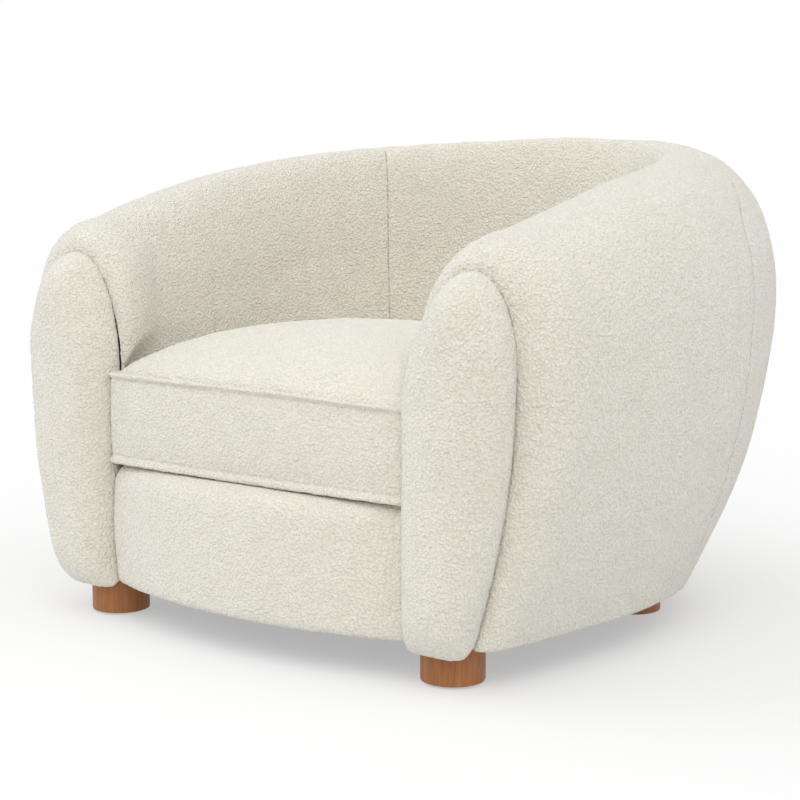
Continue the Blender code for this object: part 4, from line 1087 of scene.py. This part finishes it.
def make_deck(material):
    """The sprung deck: decking cloth over its pad, sagging a little inside a sewn border."""
    front, _ = bow_line(INNER_HALF_WIDTH - DECK_FRONT_IN, DECK_FRONT_POINTS)
    front = front + np.array([0.0, DECK_FRONT_GAP])
    ts = np.linspace(1, -1, DECK_WALL_POINTS)
    (x, y), (out_x, out_y) = path_place(ts)
    reach = inner_wall_s(ts, WELL_TOP) - DECK_SIDE_GAP
    wall = np.stack([x + out_x * reach, y + out_y * reach], -1)
    ring = even_ring(np.vstack([front, wall]), DECK_POINTS)
    centre = ring.mean(0)
    rows = []
    for share in DECK_SHARES:
        seam = BORDER_DEPTH * near((share - BORDER_SHARE) * INNER_HALF_WIDTH, BORDER_WIDTH)
        rows.append((share, DECK_FACE - DECK_SAG * (1 - share**2) - seam))
    rows += DECK_EDGE
    rows += [(share, DECK_BOTTOM) for share in (0.99, 0.7, 0.4, 0.1)]
    rows = np.array(rows)
    spots = centre + (ring - centre)[None] * rows[:, 0, None, None]
    z = np.broadcast_to(rows[:, 1, None, None], spots.shape[:2] + (1,))
    return round_piece("seat_deck", np.concatenate([spots, z], -1), material)


# ---------------------------------------------------------------- materials
def set_inputs(node, **values):
    """Set a node's sockets by name, with _ for a space."""
    for name, value in values.items():
        node.inputs[name.replace("_", " ")].default_value = value


def node_material(name, roughness, metallic=0.0):
    made = bpy.data.materials.new(name)
    made.use_nodes = True
    tree = made.node_tree
    shader = tree.nodes["Principled BSDF"]
    set_inputs(shader, Roughness=roughness, Metallic=metallic)
    return made, tree, shader


def texture(tree, kind, scale, stretch=(1, 1, 1), **settings):
    """A texture on the piece's own place in metres, with its other sockets and settings given by name."""
    place = tree.nodes.new("ShaderNodeTexCoord").outputs["Object"]
    mapping = tree.nodes.new("ShaderNodeMapping")
    set_inputs(mapping, Scale=stretch)
    tree.links.new(place, mapping.inputs["Vector"])
    node = tree.nodes.new(kind)
    tree.links.new(mapping.outputs["Vector"], node.inputs["Vector"])
    for key, value in settings.items():
        if hasattr(node, key):
            setattr(node, key, value)
        else:
            node.inputs[key].default_value = value
    node.inputs["Scale"].default_value = scale
    return node


def colour_ramp(tree, source, stops):
    """Colours picked by a value, as (place, colour) stops."""
    ramp = tree.nodes.new("ShaderNodeValToRGB")
    for element, (place, colour) in zip(ramp.color_ramp.elements, stops):
        element.position = place
        element.color = (*colour, 1)
    tree.links.new(source, ramp.inputs["Fac"])
    return ramp.outputs["Color"]


def multiply(tree, first, second):
    """Two colours multiplied."""
    mix = tree.nodes.new("ShaderNodeMix")
    mix.data_type, mix.blend_type = "RGBA", "MULTIPLY"
    mix.inputs[0].default_value = 1.0
    tree.links.new(first, mix.inputs[6])
    tree.links.new(second, mix.inputs[7])
    return mix.outputs[2]


def weigh(tree, source, factor, added=None):
    """A value times a factor, plus another value."""
    node = tree.nodes.new("ShaderNodeMath")
    node.operation = "MULTIPLY_ADD"
    tree.links.new(source, node.inputs[0])
    node.inputs[1].default_value = factor
    node.inputs[2].default_value = 0.0
    if added is not None:
        tree.links.new(added, node.inputs[2])
    return node.outputs["Value"]


def add_bump(tree, shader, height, strength, depth):
    bump = tree.nodes.new("ShaderNodeBump")
    set_inputs(bump, Strength=strength, Distance=depth)
    tree.links.new(height, bump.inputs["Height"])
    tree.links.new(bump.outputs["Normal"], shader.inputs["Normal"])


# the cream at the loops' tops, then painted shade darkening it into the pits between the loops
FABRIC_LOOP_AND_PIT_SHADE = ((0.15, (0.905, 0.868, 0.775)), (0.60, (0.775, 0.735, 0.635)))
FABRIC_CAST = ((0.35, (0.965, 0.965, 0.955)), (0.65, (1.0, 1.0, 1.0)))
LOOP_SCALE, SMALL_LOOP_SCALE, FIBRE_SCALE, PATCH_SCALE = 240.0, 430.0, 1300.0, 24.0
LOOP_BUMP = 0.0030
SMALL_LOOP_SHARE, FIBRE_SHARE = 0.35, 0.15  # their heights against the loops'


def looped_fabric():
    """Cream looped fabric: rounded loops over finer ones, a fuzz of sheen, painted shade in the pits between
    the loops and slightly uneven colour.
    """
    made, tree, shader = node_material("looped_fabric", 0.95)
    loops = texture(tree, "ShaderNodeTexVoronoi", LOOP_SCALE, feature="SMOOTH_F1", Smoothness=0.25)
    small = texture(tree, "ShaderNodeTexVoronoi", SMALL_LOOP_SCALE, feature="SMOOTH_F1", Smoothness=0.3)
    fibres = texture(tree, "ShaderNodeTexNoise", FIBRE_SCALE, Detail=2.0, Roughness=0.6)
    patches = texture(tree, "ShaderNodeTexNoise", PATCH_SCALE, Detail=3.0, Roughness=0.6)
    # painted shade: the colour darkens with distance from each loop's centre, into the pits between loops
    tone = colour_ramp(tree, loops.outputs["Distance"], FABRIC_LOOP_AND_PIT_SHADE)
    cast = colour_ramp(tree, patches.outputs["Fac"], FABRIC_CAST)
    tree.links.new(multiply(tree, tone, cast), shader.inputs["Base Color"])
    height = weigh(tree, fibres.outputs["Fac"], FIBRE_SHARE)
    height = weigh(tree, small.outputs["Distance"], -SMALL_LOOP_SHARE, height)
    height = weigh(tree, loops.outputs["Distance"], -1.0, height)
    add_bump(tree, shader, height, 1.0, LOOP_BUMP)
    set_inputs(shader, Specular_IOR_Level=0.12, Sheen_Weight=0.8, Sheen_Roughness=0.5)
    return made


def woven_cloth(name, light, dark, thread, roughness=0.9):
    """Plain weave: threads of the given width in metres crossing over and under."""
    made, tree, shader = node_material(name, roughness)
    scale = math.pi / (20 * thread)
    warp = texture(tree, "ShaderNodeTexWave", scale, bands_direction="X", Distortion=0.6)
    weft = texture(tree, "ShaderNodeTexWave", scale, bands_direction="Y", Distortion=0.6)
    uneven = texture(tree, "ShaderNodeTexNoise", 60.0, Detail=4.0)
    weave = weigh(tree, warp.outputs["Fac"], 0.5, weigh(tree, weft.outputs["Fac"], 0.5))
    tone = colour_ramp(tree, weave, ((0.25, dark), (0.75, light)))
    cast = colour_ramp(tree, uneven.outputs["Fac"], ((0.3, (0.90, 0.90, 0.90)), (0.7, (1.0, 1.0, 1.0))))
    tree.links.new(multiply(tree, tone, cast), shader.inputs["Base Color"])
    add_bump(tree, shader, weave, 0.5, thread * 0.4)
    return made


def felted_cloth(name, light, dark):
    """Pressed fibres without a weave."""
    made, tree, shader = node_material(name, 0.95)
    fibres = texture(tree, "ShaderNodeTexNoise", 420.0, Detail=5.0, Roughness=0.7)
    tone = colour_ramp(tree, fibres.outputs["Fac"], ((0.35, dark), (0.65, light)))
    tree.links.new(tone, shader.inputs["Base Color"])
    add_bump(tree, shader, fibres.outputs["Fac"], 0.4, 0.0006)
    return made


def wood(name, light, dark, roughness, grain, stretch):
    """Wood with its grain drawn out along one axis, and fine pores."""
    made, tree, shader = node_material(name, roughness)
    bands = texture(tree, "ShaderNodeTexNoise", grain, stretch, Detail=6.0, Roughness=0.62, Distortion=0.4)
    pores = texture(tree, "ShaderNodeTexNoise", grain * 5, stretch, Detail=2.0, Roughness=0.5)
    tone = colour_ramp(tree, bands.outputs["Fac"], ((0.30, dark), (0.70, light)))
    cast = colour_ramp(tree, pores.outputs["Fac"], ((0.34, (0.80, 0.78, 0.76)), (0.50, (1.0, 1.0, 1.0))))
    tree.links.new(multiply(tree, tone, cast), shader.inputs["Base Color"])
    add_bump(tree, shader, pores.outputs["Fac"], 0.15, 0.0004)
    return made


def metal(name, colour, roughness):
    """Plated metal with faint wear in its gloss."""
    made, tree, shader = node_material(name, roughness, 1.0)
    wear = texture(tree, "ShaderNodeTexNoise", 300.0, Detail=4.0)
    tone = colour_ramp(tree, wear.outputs["Fac"], ((0.3, tuple(0.86 * c for c in colour)), (0.7, colour)))
    tree.links.new(tone, shader.inputs["Base Color"])
    add_bump(tree, shader, wear.outputs["Fac"], 0.1, 0.0002)
    return made


ALONG_X, ALONG_Z = (0.06, 1.0, 1.0), (1.0, 1.0, 0.06)
FABRIC = looped_fabric()
DECKING = woven_cloth("deck_cloth", (0.72, 0.68, 0.60), (0.60, 0.56, 0.48), 0.0011)
ZIP_TAPE = woven_cloth("zip_tape", (0.62, 0.58, 0.50), (0.50, 0.46, 0.39), 0.0007)
STRAPPING = woven_cloth("webbing", (0.34, 0.28, 0.19), (0.20, 0.15, 0.09), 0.0022)
DUST_CLOTH = felted_cloth("dust_cloth", (0.050, 0.050, 0.052), (0.022, 0.022, 0.024))
FELT = felted_cloth("felt", (0.110, 0.100, 0.090), (0.055, 0.050, 0.045))
LEG_WOOD = wood("leg_wood", (0.430, 0.168, 0.046), (0.270, 0.092, 0.024), 0.45, 130.0, ALONG_Z)
FRAME_WOOD = wood("frame_wood", (0.58, 0.42, 0.26), (0.42, 0.28, 0.16), 0.75, 90.0, ALONG_X)
PLYWOOD = wood("plywood", (0.60, 0.45, 0.29), (0.46, 0.33, 0.20), 0.70, 70.0, ALONG_Z)
STEEL = metal("bolt_steel", (0.55, 0.55, 0.54), 0.38)
NICKEL = metal("zip_metal", (0.66, 0.64, 0.60), 0.30)

# the material of each CAD node that stays, by the start of its name, the first that fits
NODE_LOOKS = (
    ("leg_bolt", STEEL),
    ("leg_glide", FELT),
    ("leg_", LEG_WOOD),
    ("pillow_board", PLYWOOD),
    ("arm_front_panel", PLYWOOD),
    ("lengthwise_strap", STRAPPING),
    ("cross_strap", STRAPPING),
    ("dust_cover", DUST_CLOTH),
    ("", FRAME_WOOD),
)


# ---------------------------------------------------------------- build
def dress(piece, body, slot, *nodes):
    """Ride a piece on its body and let it stand for its CAD nodes."""
    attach(piece, body)
    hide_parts(*nodes)


def upholster(piece, number, body, fill, *nodes):
    """Dress a padded piece in looped fabric."""
    add_loops(piece, number * 10)
    dress(piece, body, "looped_fabric", *nodes)


def dress_nodes():
    """Give every CAD node its own look. Those that a piece stands for stay hidden."""
    for name, node in NODES.items():
        look = next(look for start, look in NODE_LOOKS if name.startswith(start))
        node.data.materials[0] = look


def make_chair():
    upholster(make_back(FABRIC), 0, "chair", 0.9, "back_cover", "back_foam")
    for number, (side, word) in enumerate(((1, "right"), (-1, "left"))):
        arm = make_arm(side, word, FABRIC)
        upholster(arm, 1 + number, "chair", 0.9, f"arm_cover_{word}", f"arm_foam_{word}")
        pillow = make_pillow(side, word, FABRIC)
        upholster(pillow, 3 + number, "chair", 0.9, f"pillow_cover_{word}", f"pillow_foam_{word}")
    upholster(make_rail(FABRIC), 5, "chair", 0.9, "front_rail_cover", "front_rail_pad")
    deck = make_deck(DECKING)
    dress(deck, "chair", "deck_cloth", "deck_cloth", "deck_pad")


def make_loose_cushion():
    cushion = make_cushion(FABRIC)
    bed_zip(cushion)
    upholster(cushion, 6, "seat_cushion", 0.85, "cushion_cover", "cushion_foam")
    tape, teeth = make_zip(ZIP_TAPE, NICKEL)
    dress(tape, "seat_cushion", "zip_tape", "cushion_zip")
    dress(teeth, "seat_cushion", "zip_metal", "cushion_zip")
    dress(make_slider(NICKEL), "zip_slider", "zip_metal", "zip_slider")


# ---------------------------------------------------------------- floor, light and camera
FLOOR_REACH = 14.0
FLOOR_GREY, FLOOR_GLOW = 0.45, 0.42  # the floor is pale and, like the walls, lit by itself
CAMERA_PLACE = (1.838, -2.385, 0.715)
CAMERA_AZIMUTH = math.radians(38.81)
CAMERA_PITCH = math.radians(7.54)
CAMERA_LENS = 85.5

# where each soft light comes from, how wide it is in degrees, and its strength
LIGHTS = {
    "top": ((-0.05, -0.20, 1.0), 110, 1.90),
    "key": ((-0.85, -0.35, 0.60), 60, 0.75),
    "front": ((0.52, -0.65, 0.68), 60, 0.90),
    "rear": ((0.75, 0.50, 0.50), 60, 0.38),
}
AMBIENT = 0.27  # the studio's white walls as they light the chair
BACKDROP = 1.00  # the same walls as the camera sees them


def make_floor():
    corners = [(x * FLOOR_REACH, y * FLOOR_REACH, 0) for x, y in ((-1, -1), (1, -1), (1, 1), (-1, 1))]
    made, _, shader = node_material("floor", 1.0)
    grey = (FLOOR_GREY, FLOOR_GREY, FLOOR_GREY, 1)
    set_inputs(shader, Base_Color=grey, Emission_Color=(1, 1, 1, 1), Emission_Strength=FLOOR_GLOW)
    make_object("floor", corners, [(0, 1, 2, 3)], made)


def make_light():
    world = bpy.data.worlds.new("studio")
    world.use_nodes = True
    tree = world.node_tree
    background = tree.nodes["Background"]
    set_inputs(background, Color=(1, 1, 1, 1))
    seen = tree.nodes.new("ShaderNodeLightPath").outputs["Is Camera Ray"]
    strength = tree.nodes.new("ShaderNodeMath")
    strength.operation = "MULTIPLY_ADD"
    tree.links.new(seen, strength.inputs[0])
    strength.inputs[1].default_value = BACKDROP - AMBIENT
    strength.inputs[2].default_value = AMBIENT
    tree.links.new(strength.outputs["Value"], background.inputs["Strength"])
    bpy.context.scene.world = world
    for name, (source, width, power) in LIGHTS.items():
        light = bpy.data.lights.new(name, "SUN")
        light.angle = math.radians(width)
        light.energy = power
        thing = bpy.data.objects.new(name, light)
        thing.rotation_euler = Vector(source).to_track_quat("Z", "Y").to_euler()
        bpy.context.scene.collection.objects.link(thing)


def make_camera():
    camera = bpy.data.cameras.new("camera")
    camera.lens = CAMERA_LENS
    thing = bpy.data.objects.new("camera", camera)
    thing.location = CAMERA_PLACE
    thing.rotation_euler = (math.pi / 2 - CAMERA_PITCH, 0, CAMERA_AZIMUTH)
    bpy.context.scene.collection.objects.link(thing)
    bpy.context.scene.camera = thing


make_chair()
make_loose_cushion()
dress_nodes()
make_floor()
make_light()
make_camera()
bpy.context.scene.view_settings.view_transform = "Standard"
